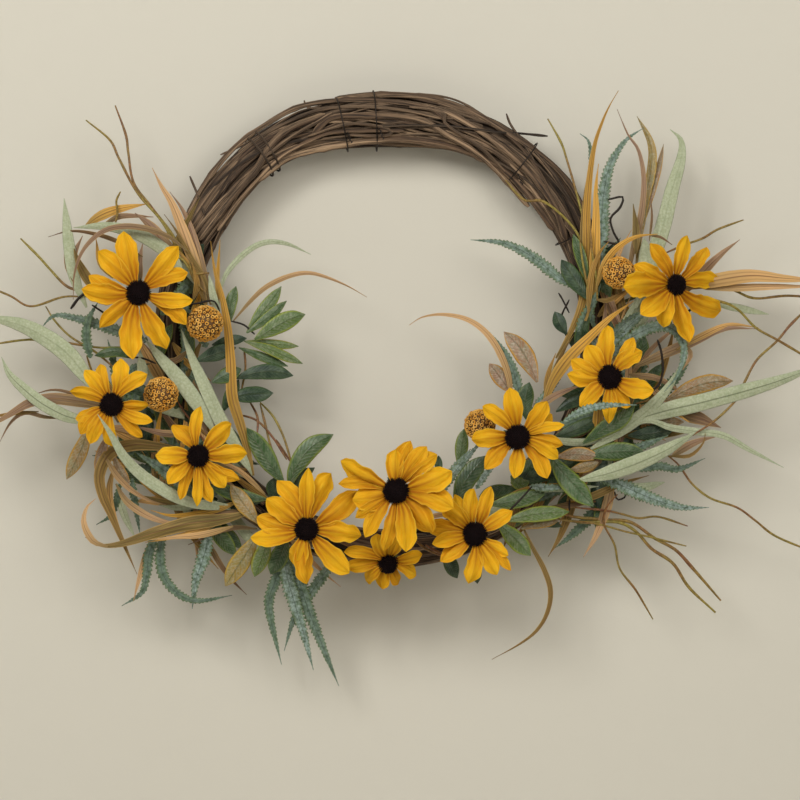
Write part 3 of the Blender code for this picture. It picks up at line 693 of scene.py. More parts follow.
# Full width in mm, midrib darkness, depth of root and tip in mm, and places from the root.
SAGE_LEFT = (
    (12, 0.1, 42, 47, ((-130, -212), (-140, -194), (-156, -172), (-170, -156), (-182, -142))),
    (11, 0.1, 38, 45, ((-101, -244), (-110, -228), (-124, -205), (-138, -175), (-149, -150), (-155, -134))),
    (9.5, 0.1, 40, 97, ((-118, -269), (-140, -266), (-160, -259), (-182, -245), (-197, -230),
                        (-207, -213), (-217, -198))),
    (10, 0.2, 36, 34, ((-142, -103), (-155, -86), (-172, -72), (-190, -62), (-212, -57), (-236, -58))),
    (9.5, 0.1, 40, 34, ((-226, -118), (-235, -95), (-239, -72), (-241, -54), (-243, -36))),
    (14, 0.3, 48, 32, ((-212, -186), (-226, -170), (-240, -153), (-256, -141), (-276, -131), (-306, -124))),
    (10, 0.9, 54, 36, ((-214, -202), (-236, -201), (-256, -192), (-272, -180), (-284, -168), (-290, -155))),
    (4.6, 0.8, 34, 20, ((-128, -112), (-121, -92), (-106, -76), (-92, -69), (-76, -70), (-58, -78))),
    (8, 0.2, 44, 46, ((-157, -100), (-158, -88), (-162, -76))),
    (8, 0.3, 44, 44, ((-184, -176), (-184, -166), (-186, -152))),
    (6, 0.2, 44, 50, ((-126, -124), (-131, -110), (-134, -94))),
    (6, 0.7, 36, 30, ((-203, -250), (-199, -270), (-190, -290))),
    (5, 0.5, 42, 40, ((-104, -240), (-112, -228), (-120, -214))),
    (6, 0.3, 44, 42, ((-120, -266), (-138, -265), (-158, -268), (-172, -266))),
)
SAGE_RIGHT = (
    (13, 0.95, 52, 30, ((160, -217), (182, -204), (206, -196), (236, -189), (270, -180), (296, -172),
                        (327, -160))),
    (13, 0.7, 56, 58, ((142, -248), (166, -242), (186, -235), (206, -226), (222, -217), (231, -211))),
    (10, 0.3, 50, 44, ((152, -224), (172, -212), (190, -199), (204, -186), (213, -174), (220, -160))),
    (12, 0.25, 36, 8, ((186, -118), (196, -88), (206, -58), (213, -30), (220, -6), (220, 8), (212, 16))),
    (15, 0.2, 38, 34, ((198, -104), (196, -88), (192, -66))),
    (5.5, 0.8, 50, 30, ((178, -208), (196, -203), (212, -208), (232, -211), (252, -214), (272, -225),
                        (297, -238))),
    (6, 0.1, 26, 14, ((244, -115), (262, -118), (286, -123))),
    (7, 0.2, 26, 22, ((176, -250), (190, -253), (208, -249))),
    (6, 0.6, 44, 46, ((96, -258), (112, -254), (134, -253), (158, -252))),
    (6, 0.4, 48, 44, ((118, -214), (130, -218), (148, -219), (170, -214))),
    (7, 0.2, 40, 34, ((120, -176), (127, -163), (135, -150))),
)


def leaf_piece(name, rows, finish, sizes, step, slot, *nodes, spread=5.0, seed=2):
    """One bunch of leaves as one piece that rides on the wreath."""
    chance = random.Random(seed)
    lines = []
    for width, tone, root, tip, points in rows:
        last = len(points) - 1
        arch = min(5.0, 0.5 * last)
        line = [
            spot(x, z, root + (tip - root) * i / last + arch * math.sin(math.pi * i / last))
            for i, (x, z) in enumerate(points)
        ]
        twists = (chance.uniform(-3, 3) * spread, chance.uniform(-5, 5) * spread)
        lines.append((smooth(line, step), width * MM / 2, tone, twists))
    piece = grown(name, centre_lines(name, lines), blade_tree, finish, {**sizes, "Seed": seed})
    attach(piece, wreath)
    if nodes:
        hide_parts(*nodes)
    return piece


# In mm, the ring's middle, and how near to it and how far past its bunch a leaf may reach.
# Then the share that runs clockwise, and the most that a leaf leans and bends, in radians.
RING_MIDDLE_Z = -137.8
NEAREST, FARTHEST_PAST = 136, 24
CLOCKWISE_SHARE, MOST_LEAN, MOST_BEND, LEAF_STEPS = 0.6, 0.8, 0.7, 4


def packed_rows(seed, bunches, widths, lengths, tones, depths=(24, 36)):
    """Short leaves packed round the ring behind the heads: how many, over which degrees and
    how far out in mm; each runs along the ring one way or the other, and leans off it."""
    chance = random.Random(seed)
    rows = []
    for count, arc, reaches in bunches:
        for _ in range(count):
            turn = math.radians(chance.uniform(*arc))
            reach, length = chance.uniform(*reaches), chance.uniform(*lengths)
            x, z = reach * math.sin(turn), RING_MIDDLE_Z + reach * math.cos(turn)
            way = math.pi / 2 if chance.random() < CLOCKWISE_SHARE else -math.pi / 2
            heading = turn + way + chance.uniform(-MOST_LEAN, MOST_LEAN)
            bend = chance.uniform(-MOST_BEND, MOST_BEND)
            points = [(x, z)]
            for _ in range(LEAF_STEPS):
                heading += bend / LEAF_STEPS
                x += math.sin(heading) * length / LEAF_STEPS
                z += math.cos(heading) * length / LEAF_STEPS
                far = math.hypot(x, z - RING_MIDDLE_Z)
                if far < NEAREST or far > reaches[1] + FARTHEST_PAST:
                    break
                points.append((x, z))
            if len(points) > 2:
                root = chance.uniform(depths[0], depths[0] + 4)
                tip = chance.uniform(depths[1] - 8, depths[1])
                rows.append((chance.uniform(*widths), chance.uniform(*tones), root, tip, tuple(points)))
    return tuple(rows)


LEFT_BUNCHES = ((9, (206, 300), (146, 176)), (9, (222, 256), (176, 214)))
RIGHT_BUNCHES = ((8, (64, 152), (146, 176)), (10, (96, 128), (172, 206)))
SAGE_LEFT += packed_rows(61, ((5, (215, 290), (150, 190)),), (7, 10), (44, 74), (0.1, 0.5))
SAGE_RIGHT += packed_rows(62, ((5, (90, 140), (150, 190)),), (7, 10), (44, 74), (0.1, 0.5))
SAGE_SHAPE = {
    "Thickness": 0.045, "Fold": 0.22, "Widest At": 0.40, "Base Width": 0.18, "Tip Power": 2.4,
    "Ripple": 0.0016,
}
for side, rows in (("left", SAGE_LEFT), ("right", SAGE_RIGHT)):
    leaf_piece(f"{side}_sage_leaves", rows, sage, SAGE_SHAPE, 0.004, "sage_blades",
               f"{side}_sage_blades", seed=5)


# ---------------------------------------------------------------- Grass blades
# Ribbed ribbons of printed fabric, olive at the root and turning ochre, tan or mauve at
# the tip. They arch and kink where they were creased in the box.

grass, tree, shader = new_finish("grass_fabric", 0.7)
shader.inputs["Sheen Weight"].default_value = 0.2
along, across, run, tone = leaf_values(tree)
lines = grouped(tree, ribs, {"Run": run, "Across": across, "Ribs": 3.6, "Leaf": tone, "Streak Length": 0.030})
dry = tone_ramp(tree, tone, (
    (0.0, (98, 86, 30)), (0.25, (138, 102, 36)), (0.45, (220, 162, 48)), (0.62, (212, 168, 118)),
    (0.8, (150, 120, 98)), (1.0, (92, 62, 34))))
root_share = ranged(tree, along, 0.55, 0.0)
fresh = mixed(tree, product(tree, root_share, 0.75), dry, tint(104, 94, 44))
crease = grouped(tree, veins, {"Along": along, "Across": across, "Pairs": 1.0, "Slant": 0.0})
dark_line = ranged(tree, lines["Ribs"], 0.45, 0.95)
line_depth = product(tree, dark_line, calc(tree, "SUBTRACT", 0.62, product(tree, tone, 0.55)))
fresh = mixed(tree, line_depth, fresh, tint(84, 62, 26))
# Painted highlight: both edges are lightened to pale tan.
painted_edge_highlight = ranged(tree, calc(tree, "ABSOLUTE", across), 0.80, 0.98)
fresh = mixed(tree, product(tree, painted_edge_highlight, 0.6), fresh, tint(212, 168, 96))
# Painted shade: the centre crease is darkened along its length.
fresh = mixed(tree, product(tree, crease["Midrib"], 0.75), fresh, tint(92, 50, 18))
streaks = ranged(tree, lines["Streaks"], 0.45, 0.75)
fresh = mixed(tree, product(tree, streaks, 0.35), fresh, tint(222, 180, 108))
coloured(tree, shader, fresh)
bumped(tree, shader, total(tree, lines["Ribs"], lines["Streaks"]), 0.6, 0.0003)

# Full width in mm, tone (olive, ochre, tan, mauve, brown), depths and places from the root.
GRASS_LEFT = (
    (8.5, 0.36, 38, 42, ((-101, -244), (-106, -222), (-112, -202), (-117, -184), (-118, -160),
                         (-120, -136), (-124, -112), (-130, -90), (-133, -68))),
    (3.5, 0.40, 36, 30, ((-127, -118), (-128, -98), (-126, -67))),
    (9.5, 0.62, 36, 30, ((-136, -118), (-141, -100), (-147, -80), (-154, -60), (-162, -40), (-170, -27),
                         (-177, -13))),
    (7.0, 0.80, 34, 30, ((-133, -116), (-139, -92), (-145, -68), (-153, -47), (-164, -31))),
    (4.6, 0.85, 44, 46, ((-150, -76), (-164, -65), (-180, -59), (-198, -57), (-214, -61), (-228, -74),
                         (-235, -92), (-236, -112))),
    (8.0, 0.48, 26, 22, ((-228, -58), (-218, -50), (-203, -44), (-181, -40))),
    (4.5, 0.85, 28, 26, ((-214, -56), (-203, -50), (-193, -49), (-176, -50))),
    (11, 0.82, 30, 28, ((-160, -84), (-170, -68), (-179, -56), (-190, -47))),
    (3.6, 1.0, 40, 34, ((-184, -80), (-204, -68), (-224, -62), (-240, -61), (-255, -65))),
    (2.6, 0.85, 40, 34, ((-236, -99), (-241, -88), (-242, -74), (-240, -60))),
    (6.0, 0.82, 38, 34, ((-238, -98), (-236, -80), (-229, -64))),
    (8.0, 0.05, 40, 38, ((-214, -106), (-224, -98), (-232, -84), (-236, -72))),
    (5.0, 0.35, 44, 40, ((-206, -96), (-216, -84), (-219, -66))),
    (9.0, 0.86, 50, 34, ((-206, -194), (-228, -189), (-250, -186), (-268, -189), (-284, -198), (-306, -212))),
    (3.0, 0.92, 46, 40, ((-214, -196), (-226, -187), (-242, -181), (-254, -180), (-268, -184))),
    (3.4, 0.85, 36, 26, ((-246, -201), (-258, -200), (-272, -197), (-283, -204), (-292, -220))),
    (3.0, 0.25, 36, 26, ((-262, -196), (-276, -197), (-292, -199), (-306, -203))),
    (11, 0.06, 46, 52, ((-104, -272), (-126, -277), (-150, -280), (-176, -287), (-200, -295),
                        (-216, -296), (-227, -290))),
    (5.2, 0.62, 53, 50, ((-210, -297), (-221, -293), (-228, -280), (-226, -268), (-219, -261))),
    (5.0, 0.60, 46, 56, ((-116, -282), (-138, -288), (-158, -290), (-178, -292))),
    (4.0, 0.50, 44, 50, ((-120, -276), (-138, -284), (-164, -291), (-182, -294))),
    (9.5, 0.16, 46, 46, ((-150, -226), (-172, -222), (-192, -221), (-208, -227), (-216, -242),
                         (-214, -258), (-207, -274), (-196, -300), (-188, -318))),
    (5.0, 0.55, 40, 40, ((-205, -236), (-209, -256), (-204, -278), (-196, -296))),
    (5.0, 0.64, 34, 30, ((-178, -292), (-183, -308), (-187, -322), (-191, -338))),
    (5.0, 0.66, 50, 44, ((-213, -228), (-204, -243), (-193, -254), (-180, -262), (-166, -266))),
    (5.6, 0.70, 50, 42, ((-204, -250), (-196, -263), (-182, -273), (-166, -279), (-148, -280))),
    (7.0, 0.04, 44, 40, ((-152, -264), (-166, -265), (-184, -259))),
    (4.0, 0.66, 36, 18, ((-116, -128), (-104, -114), (-92, -103), (-76, -95), (-60, -92), (-44, -96),
                         (-30, -102), (-16, -110))),
    (5.5, 0.84, 46, 44, ((-150, -213), (-170, -212), (-190, -207))),
    (4.0, 0.30, 40, 38, ((-138, -112), (-144, -98), (-152, -82), (-164, -68))),
    (4.0, 0.10, 42, 36, ((-134, -110), (-138, -96), (-148, -80), (-158, -62), (-168, -48))),
    (5.0, 0.30, 42, 42, ((-146, -112), (-143, -100), (-147, -84))),
    (6.0, 0.85, 38, 34, ((-186, -100), (-187, -86), (-184, -70))),
    (5.0, 0.95, 38, 36, ((-150, -150), (-160, -158), (-176, -156))),
    (5.0, 0.95, 34, 34, ((-116, -240), (-136, -232), (-152, -216))),
    (4.0, 0.60, 40, 40, ((-92, -258), (-112, -240), (-132, -231))),
    (6.0, 0.75, 38, 42, ((-100, -272), (-122, -272), (-150, -276))),
    (5.0, 0.45, 42, 46, ((-110, -262), (-130, -270), (-160, -274), (-178, -270))),
    (4.0, 0.90, 36, 34, ((-98, -284), (-120, -284), (-150, -296))),
)
GRASS_RIGHT = (
    (7.0, 0.34, 36, 20, ((126, -156), (138, -134), (146, -112), (149, -80), (149, -50), (151, -22),
                         (155, 4), (161, 22), (166, 33), (173, 45))),
    (5.0, 0.10, 34, 24, ((144, -110), (146, -80), (147, -50), (150, -22), (156, 4))),
    (8.5, 0.47, 40, 30, ((148, -128), (153, -104), (155, -80), (156, -50), (156, -28), (158, -10))),
    (5.0, 0.80, 34, 22, ((178, -104), (184, -74), (190, -48), (192, -22), (188, 0), (180, 12), (172, 31))),
    (5.4, 0.47, 46, 54, ((156, -104), (162, -86), (172, -73), (186, -65), (202, -63))),
    (2.4, 0.95, 50, 52, ((196, -64), (204, -65), (213, -71))),
    (2.0, 0.95, 36, 30, ((196, -68), (198, -50), (197, -34))),
    (11, 0.58, 44, 34, ((214, -104), (244, -98), (272, -94), (298, -96), (328, -98))),
    (6.0, 0.62, 40, 30, ((238, -104), (262, -103), (290, -102), (326, -102))),
    (7.5, 0.76, 40, 30, ((222, -108), (236, -92), (250, -78), (264, -67))),
    (8.0, 0.80, 42, 30, ((184, -163), (204, -154), (228, -144), (252, -134), (276, -134))),
    (5.0, 0.55, 42, 28, ((216, -150), (236, -139), (256, -131), (278, -133))),
    (9.5, 0.46, 42, 52, ((116, -192), (124, -172), (136, -155), (150, -141), (166, -126), (184, -113))),
    (5.4, 0.62, 38, 18, ((92, -196), (91, -172), (84, -152), (74, -137), (60, -127), (42, -123),
                         (26, -125), (16, -131))),
    (4.2, 0.18, 36, 24, ((100, -280), (108, -297), (117, -314), (122, -330), (120, -346), (112, -360),
                         (98, -371), (78, -382))),
    (6.0, 0.82, 44, 44, ((108, -198), (120, -187), (134, -180), (146, -176))),
    (8.0, 0.40, 50, 40, ((158, -186), (157, -206), (154, -234))),
    (6.0, 0.02, 38, 34, ((186, -78), (186, -58), (184, -40))),
    (3.5, 0.70, 42, 40, ((224, -146), (227, -154), (221, -165))),
    (6.0, 0.85, 48, 40, ((212, -230), (224, -222), (236, -217), (246, -215))),
    (3.0, 0.20, 50, 42, ((210, -229), (226, -229), (236, -220), (238, -212))),
    (11, 0.90, 36, 30, ((216, -196), (234, -201), (250, -208))),
    (9.0, 0.05, 34, 30, ((176, -214), (200, -213), (228, -211))),
    (5.0, 0.15, 40, 34, ((120, -190), (124, -170), (132, -150), (140, -138))),
    (5.0, 0.30, 42, 34, ((118, -186), (120, -168), (126, -152))),
    (5.0, 0.30, 42, 40, ((150, -122), (152, -96), (158, -78), (166, -68))),
    (4.0, 0.20, 44, 40, ((156, -112), (166, -112), (180, -104))),
    (6.0, 0.12, 40, 36, ((134, -262), (152, -260), (176, -250), (196, -244))),
    (4.5, 0.35, 44, 44, ((84, -262), (106, -254), (136, -249))),
    (4.0, 0.95, 36, 30, ((118, -268), (140, -266), (162, -262))),
    (4.0, 0.85, 34, 24, ((96, -276), (112, -280), (126, -280))),
    (5.0, 0.75, 48, 34, ((180, -168), (204, -172), (226, -186))),
    (4.0, 0.50, 42, 40, ((198, -186), (214, -196), (226, -204))),
)
GRASS_LEFT += packed_rows(71, LEFT_BUNCHES + LEFT_BUNCHES, (4, 8), (48, 84), (0.0, 1.0))
GRASS_RIGHT += packed_rows(72, RIGHT_BUNCHES + RIGHT_BUNCHES, (4, 8), (48, 84), (0.0, 1.0))
GRASS_SHAPE = {
    "Thickness": 0.05, "Fold": 0.30, "Creases": 2.0, "Crease Depth": 0.05, "Widest At": 0.35,
    "Base Width": 0.22, "Tip Power": 1.5, "Ripple": 0.0016,
}
for side, rows in (("left", GRASS_LEFT), ("right", GRASS_RIGHT)):
    leaf_piece(f"{side}_grass_leaves", rows, grass, GRASS_SHAPE, 0.004, "grass_blades",
               f"{side}_grass_blades", seed=9,
               spread=7.0)


# ---------------------------------------------------------------- Serrated frosted leaves
# Stiff moulded leaves with saw-toothed edges, blue-green under a pale frost that was
# brushed on and rubs off along the middle.

frosted, tree, shader = new_finish("frosted_leaf", 0.6)
along, across, run, tone = leaf_values(tree)
vein = grouped(tree, veins, {"Along": along, "Across": across, "Pairs": 22.0, "Slant": 3.0})
deep = mixed(tree, mottle(tree, 300, 0.40, 0.65), tint(58, 78, 54), tint(94, 116, 88))
frost = product(tree, mottle(tree, 420, 0.36, 0.72), total(tree, product(tree, tone, 0.8), 0.06))
deep = mixed(tree, frost, deep, tint(182, 200, 194))
edge = calc(tree, "POWER", calc(tree, "ABSOLUTE", across), 7.0)
deep = mixed(tree, product(tree, edge, 0.8), deep, tint(104, 124, 66))
deep = mixed(tree, product(tree, vein["Midrib"], 0.7), deep, tint(38, 52, 42))
coloured(tree, shader, deep)
bumped(tree, shader, total(tree, vein["Side Veins"], vein["Midrib"]), 0.3, 0.0003)

SERRATED_LEFT = (
    (6.2, 0.45, 40, 34, ((-180, -143), (-198, -137), (-216, -131), (-234, -126), (-250, -124), (-261, -134))),
    (5.5, 0.10, 46, 44, ((-223, -156), (-226, -142), (-225, -128), (-217, -113))),
    (5.5, 0.35, 38, 26, ((-172, -284), (-179, -302), (-181, -318), (-185, -332), (-200, -342))),
    (5.5, 0.30, 38, 22, ((-168, -284), (-171, -304), (-168, -320), (-157, -333), (-142, -338), (-117, -334))),
    (7.4, 0.95, 38, 24, ((-134, -286), (-138, -304), (-144, -322), (-147, -344))),
    (7.8, 0.40, 44, 42, ((-146, -256), (-160, -246), (-174, -236), (-190, -226))),
    (7, 0.30, 42, 40, ((-138, -262), (-156, -258), (-174, -252), (-188, -240))),
    (6.2, 0.20, 40, 42, ((-128, -258), (-146, -252), (-164, -244))),
    (5.9, 0.35, 38, 22, ((-80, -296), (-83, -318), (-89, -336), (-88, -352), (-80, -386))),
    (7.8, 0.95, 42, 24, ((-78, -298), (-76, -318), (-70, -340), (-64, -360), (-56, -390))),
    (7.4, 0.45, 40, 16, ((-72, -296), (-68, -318), (-60, -344), (-50, -370), (-37, -402))),
    (5.9, 0.55, 38, 20, ((-38, -304), (-48, -318), (-58, -332), (-70, -350), (-78, -376))),
    (4.3, 0.30, 38, 32, ((-192, -246), (-190, -264), (-186, -288))),
    (3.9, 0.10, 38, 26, ((-201, -250), (-204, -264), (-208, -274), (-219, -281))),
    (6.2, 0.15, 44, 46, ((-136, -148), (-146, -124), (-156, -118))),
    (5.5, 0.25, 42, 36, ((-190, -226), (-206, -229), (-222, -229))),
    (4.7, 0.30, 38, 38, ((-200, -170), (-188, -162), (-178, -160))),
)
SERRATED_RIGHT = (
    (6.2, 0.55, 36, 22, ((138, -102), (126, -94), (114, -84), (100, -75), (84, -69), (62, -67))),
    (7.8, 0.65, 38, 22, ((158, -92), (160, -66), (161, -40), (165, -16), (172, -1), (180, 9), (192, 17))),
    (2.3, 0.70, 20, 8, ((152, -14), (152, 0), (150, 8), (144, 13))),
    (6.6, 0.60, 44, 52, ((166, -156), (176, -146), (188, -137), (202, -132), (213, -134), (221, -144),
                         (221, -157), (216, -170), (207, -181))),
    (7.4, 0.95, 48, 28, ((158, -246), (174, -251), (190, -258), (206, -264), (222, -268), (241, -268))),
    (5.5, 0.80, 42, 44, ((36, -262), (46, -246), (58, -232), (72, -216))),
    (4.7, 0.85, 42, 42, ((40, -256), (50, -238), (62, -224))),
    (3.9, 0.85, 44, 46, ((66, -254), (74, -242), (86, -230))),
    (4.7, 0.90, 78, 84, ((132, -203), (144, -196), (158, -192), (172, -191), (186, -191))),
    (5.5, 0.40, 36, 30, ((100, -190), (96, -172), (89, -154), (76, -136))),
    (4.7, 0.80, 42, 34, ((108, -196), (118, -184), (126, -174), (133, -164))),
    (4.7, 0.40, 44, 36, ((188, -240), (204, -237), (218, -239), (238, -231))),
    (6.2, 0.75, 40, 42, ((160, -152), (176, -136), (190, -124), (204, -116))),
    (5.5, 0.50, 42, 40, ((166, -142), (180, -128), (196, -118))),
    (6.2, 0.35, 38, 40, ((142, -136), (152, -118), (160, -100))),
    (5.5, 0.15, 44, 40, ((126, -208), (146, -200), (166, -196))),
    (6.2, 0.40, 40, 40, ((168, -232), (190, -222), (210, -214))),
    (4.7, 0.80, 50, 52, ((106, -252), (120, -253), (138, -252))),
)
SERRATED_LEFT += packed_rows(81, LEFT_BUNCHES, (6, 9), (40, 66), (0.05, 0.6), (22, 34))
SERRATED_RIGHT += packed_rows(82, RIGHT_BUNCHES, (6, 9), (40, 66), (0.05, 0.6), (22, 34))
SERRATED_SHAPE = {
    "Thickness": 0.05, "Fold": 0.14, "Widest At": 0.30, "Base Width": 0.2, "Tip Power": 1.5, "Ripple": 0.0010,
    "Tooth Depth": 0.75, "Tooth Length": 0.0030,
}
for side, rows in (("left", SERRATED_LEFT), ("right", SERRATED_RIGHT)):
    leaf_piece(f"{side}_frosted_leaves", rows, frosted, SERRATED_SHAPE, 0.0008, "serrated_leaves",
               f"{side}_serrated_leaves",
               seed=12, spread=4.0)


# ---------------------------------------------------------------- Oval leaves
# Moulded leaves with printed colour: dark green, or green with a yellow-green rim, or
# tan with a frosted middle. Pale side veins are pressed into each one.

oval, tree, shader = new_finish("oval_leaf", 0.4)
along, across, run, tone = leaf_values(tree)
vein = grouped(tree, veins, {"Along": along, "Across": across, "Pairs": 13.0, "Slant": 2.6})
flesh = tone_ramp(tree, tone, (
    (0.0, (24, 48, 32)), (0.35, (52, 82, 36)), (0.6, (92, 114, 44)), (0.85, (158, 128, 62)),
    (1.0, (150, 110, 88))))
rim = tone_ramp(tree, tone, ((0.0, (50, 76, 44)), (0.5, (136, 150, 52)), (1.0, (204, 148, 58))))
flesh = mixed(tree, product(tree, mottle(tree, 150, 0.42, 0.70), 0.45), flesh, tint(118, 138, 104))
silver = product(tree, vein["Side Veins"], 0.34, total(tree, tone, 0.15))
flesh = mixed(tree, silver, flesh, tint(196, 200, 176))
frost = product(tree, mottle(tree, 460, 0.46, 0.70), product(tree, tone, 0.45))
flesh = mixed(tree, frost, flesh, tint(214, 206, 186))
edge = ranged(tree, calc(tree, "ABSOLUTE", across), 0.70, 0.92)
flesh = mixed(tree, edge, flesh, rim)
flesh = mixed(tree, product(tree, vein["Midrib"], 0.5), flesh, tint(60, 70, 36))
coloured(tree, shader, flesh)
bumped(tree, shader, total(tree, vein["Side Veins"], vein["Midrib"]), 0.7, 0.0004)

OVAL_LEFT = (
    (9.0, 0.42, 36, 34, ((-119, -130), (-118, -116), (-114, -102))),
    (10, 0.50, 38, 34, ((-106, -137), (-95, -122), (-87, -112), (-80, -102))),
    (8.0, 0.40, 40, 36, ((-106, -137), (-91, -126), (-76, -113))),
    (14, 0.50, 40, 36, ((-100, -142), (-84, -132), (-72, -126), (-62, -123))),
    (7.0, 0.60, 36, 30, ((-106, -143), (-88, -145), (-67, -147))),
    (8.0, 0.55, 38, 34, ((-108, -143), (-92, -148), (-78, -154), (-64, -160))),
    (7.0, 0.35, 36, 32, ((-112, -148), (-94, -155), (-75, -162))),
    (12, 0.04, 40, 38, ((-114, -171), (-100, -167), (-86, -166), (-71, -169))),
    (13, 0.04, 42, 40, ((-120, -186), (-104, -183), (-86, -182))),
    (12, 0.02, 42, 42, ((-144, -158), (-130, -153), (-114, -148))),
    (8.0, 0.02, 40, 40, ((-132, -146), (-120, -143), (-106, -141))),
    (12, 0.20, 42, 42, ((-132, -174), (-120, -168), (-110, -164))),
    (15, 0.34, 40, 44, ((-78, -250), (-88, -236), (-97, -222), (-106, -208))),
    (15, 0.36, 42, 44, ((-74, -254), (-70, -240), (-58, -223), (-41, -213))),
    (9.0, 0.10, 38, 38, ((-70, -262), (-68, -248), (-55, -238))),
    (11, 0.34, 44, 44, ((-90, -262), (-110, -259), (-134, -251))),
    (13, 0.88, 50, 48, ((-97, -280), (-106, -268), (-118, -251))),
    (15, 0.82, 46, 40, ((-98, -288), (-106, -302), (-114, -314), (-122, -327))),
    (13, 0.58, 48, 42, ((-89, -290), (-94, -304), (-100, -320))),
    (14, 0.28, 46, 40, ((-76, -290), (-81, -304), (-88, -318))),
    (12, 0.90, 48, 40, ((-224, -206), (-230, -224), (-241, -247))),
    (9.0, 0.98, 50, 44, ((-211, -214), (-215, -228), (-219, -243))),
    (7.0, 0.95, 44, 42, ((-206, -228), (-202, -238), (-194, -250))),
    (8.0, 0.30, 44, 40, ((-190, -156), (-204, -151), (-220, -154))),
    (10, 0.02, 40, 44, ((-144, -140), (-152, -126), (-158, -118))),
    (10, 0.05, 38, 38, ((-100, -262), (-116, -268), (-132, -268))),
    (10, 0.15, 36, 36, ((-124, -196), (-116, -180), (-112, -172))),
)
OVAL_RIGHT = (
    (10, 0.46, 38, 36, ((53, -238), (55, -224), (57, -209))),
    (15, 0.16, 44, 46, ((50, -268), (56, -252), (64, -240), (74, -229))),
    (6.0, 0.08, 40, 40, ((38, -244), (38, -229))),
    (13, 0.40, 46, 48, ((76, -266), (94, -263), (118, -257))),
    (12, 0.52, 46, 48, ((88, -278), (110, -273), (136, -271))),
    (14, 0.50, 46, 46, ((82, -279), (94, -290), (107, -304))),
    (11, 0.10, 42, 38, ((42, -300), (47, -310), (52, -321))),
    (8.0, 0.12, 42, 38, ((66, -306), (67, -325))),
    (17, 0.36, 54, 60, ((122, -229), (132, -243), (142, -254), (154, -267))),
    (13, 0.18, 46, 46, ((104, -202), (103, -188), (106, -174))),
    (13, 0.06, 40, 38, ((150, -112), (140, -97), (130, -82))),
    (9.0, 0.36, 38, 36, ((150, -100), (145, -82), (139, -63))),
    (10, 0.00, 36, 34, ((134, -138), (129, -130), (125, -121))),
    (13, 0.36, 54, 58, ((146, -220), (162, -209), (174, -202), (185, -190))),
    (14, 0.32, 50, 50, ((148, -229), (170, -226), (192, -226))),
    (15, 0.97, 36, 26, ((112, -174), (106, -160), (98, -147), (87, -136))),
    (12, 0.98, 36, 28, ((92, -182), (84, -170), (76, -160))),
    (13, 0.93, 40, 28, ((208, -188), (226, -179), (242, -174), (259, -173))),
    (7.5, 0.84, 30, 12, ((186, -90), (189, -62), (193, -36), (198, -12), (197, 6), (187, 26))),
    (5.0, 0.96, 28, 14, ((190, -60), (197, -36), (203, -14), (207, 5))),
    (11, 0.10, 46, 44, ((124, -216), (144, -208), (160, -200))),
    (12, 0.02, 42, 36, ((180, -214), (200, -212), (216, -208))),
    (11, 0.96, 52, 50, ((126, -230), (142, -228), (158, -230))),
    (9.0, 0.90, 48, 46, ((136, -240), (146, -238), (158, -234))),
    (10, 0.05, 40, 38, ((126, -196), (140, -188), (156, -186))),
    (12, 0.02, 38, 36, ((92, -250), (110, -244), (130, -240))),
    (9.0, 0.92, 40, 36, ((188, -204), (202, -204), (222, -204))),
    (8.0, 0.90, 40, 34, ((100, -284), (112, -280), (128, -278))),
    (10, 0.10, 40, 34, ((150, -120), (146, -134), (142, -150))),
    (10, 0.55, 40, 38, ((92, -244), (98, -250), (106, -248))),
)
OVAL_LEFT += packed_rows(91, LEFT_BUNCHES + LEFT_BUNCHES, (9, 13), (26, 40), (0.0, 0.4), (22, 33))
OVAL_RIGHT += packed_rows(92, RIGHT_BUNCHES + RIGHT_BUNCHES, (9, 13), (26, 40), (0.0, 0.4), (22, 33))
OVAL_SHAPE = {
    "Thickness": 0.07, "Fold": 0.22, "Widest At": 0.55, "Base Width": 0.12, "Tip Power": 2.6,
    "Ripple": 0.0012,
}
for side, rows in (("left", OVAL_LEFT), ("right", OVAL_RIGHT)):
    leaf_piece(f"{side}_oval_leaves", rows, oval, OVAL_SHAPE, 0.0016, "green_leaves",
               f"{side}_green_leaves", seed=21,
               spread=5.0)


# ---------------------------------------------------------------- Tendrils and wire ends
# Wavy moulded plastic tendrils, olive and rust, thin as string. Between the leaves stick
# out a few dark wrapped wire ends of the picks.

tendril, tree, shader = new_finish("tendril_plastic", 0.45)
along, across, run, tone = leaf_values(tree)
own_place = put(tree, "ShaderNodeCombineXYZ", {"X": product(tree, run, 30.0), "Y": product(tree, tone, 31.0)})
patches = put(tree, "ShaderNodeTexNoise", {"Vector": own_place.outputs[0], "Scale": 1.0, "Detail": 1.0})
rust = ranged(tree, patches.outputs["Fac"], 0.42, 0.62)
green = mixed(tree, mottle(tree, 500, 0.4, 0.6), tint(124, 112, 34), tint(158, 144, 62))
brown = mixed(tree, mottle(tree, 500, 0.4, 0.6), tint(100, 58, 34), tint(142, 92, 50))
turn_brown = calc(tree, "MINIMUM", total(tree, product(tree, rust, 0.6), product(tree, tone, 0.6)), 1.0)
coloured(tree, shader, mixed(tree, turn_brown, green, brown))
bumped(tree, shader, mottle(tree, 900, 0.3, 0.7), 0.3, 0.0002)

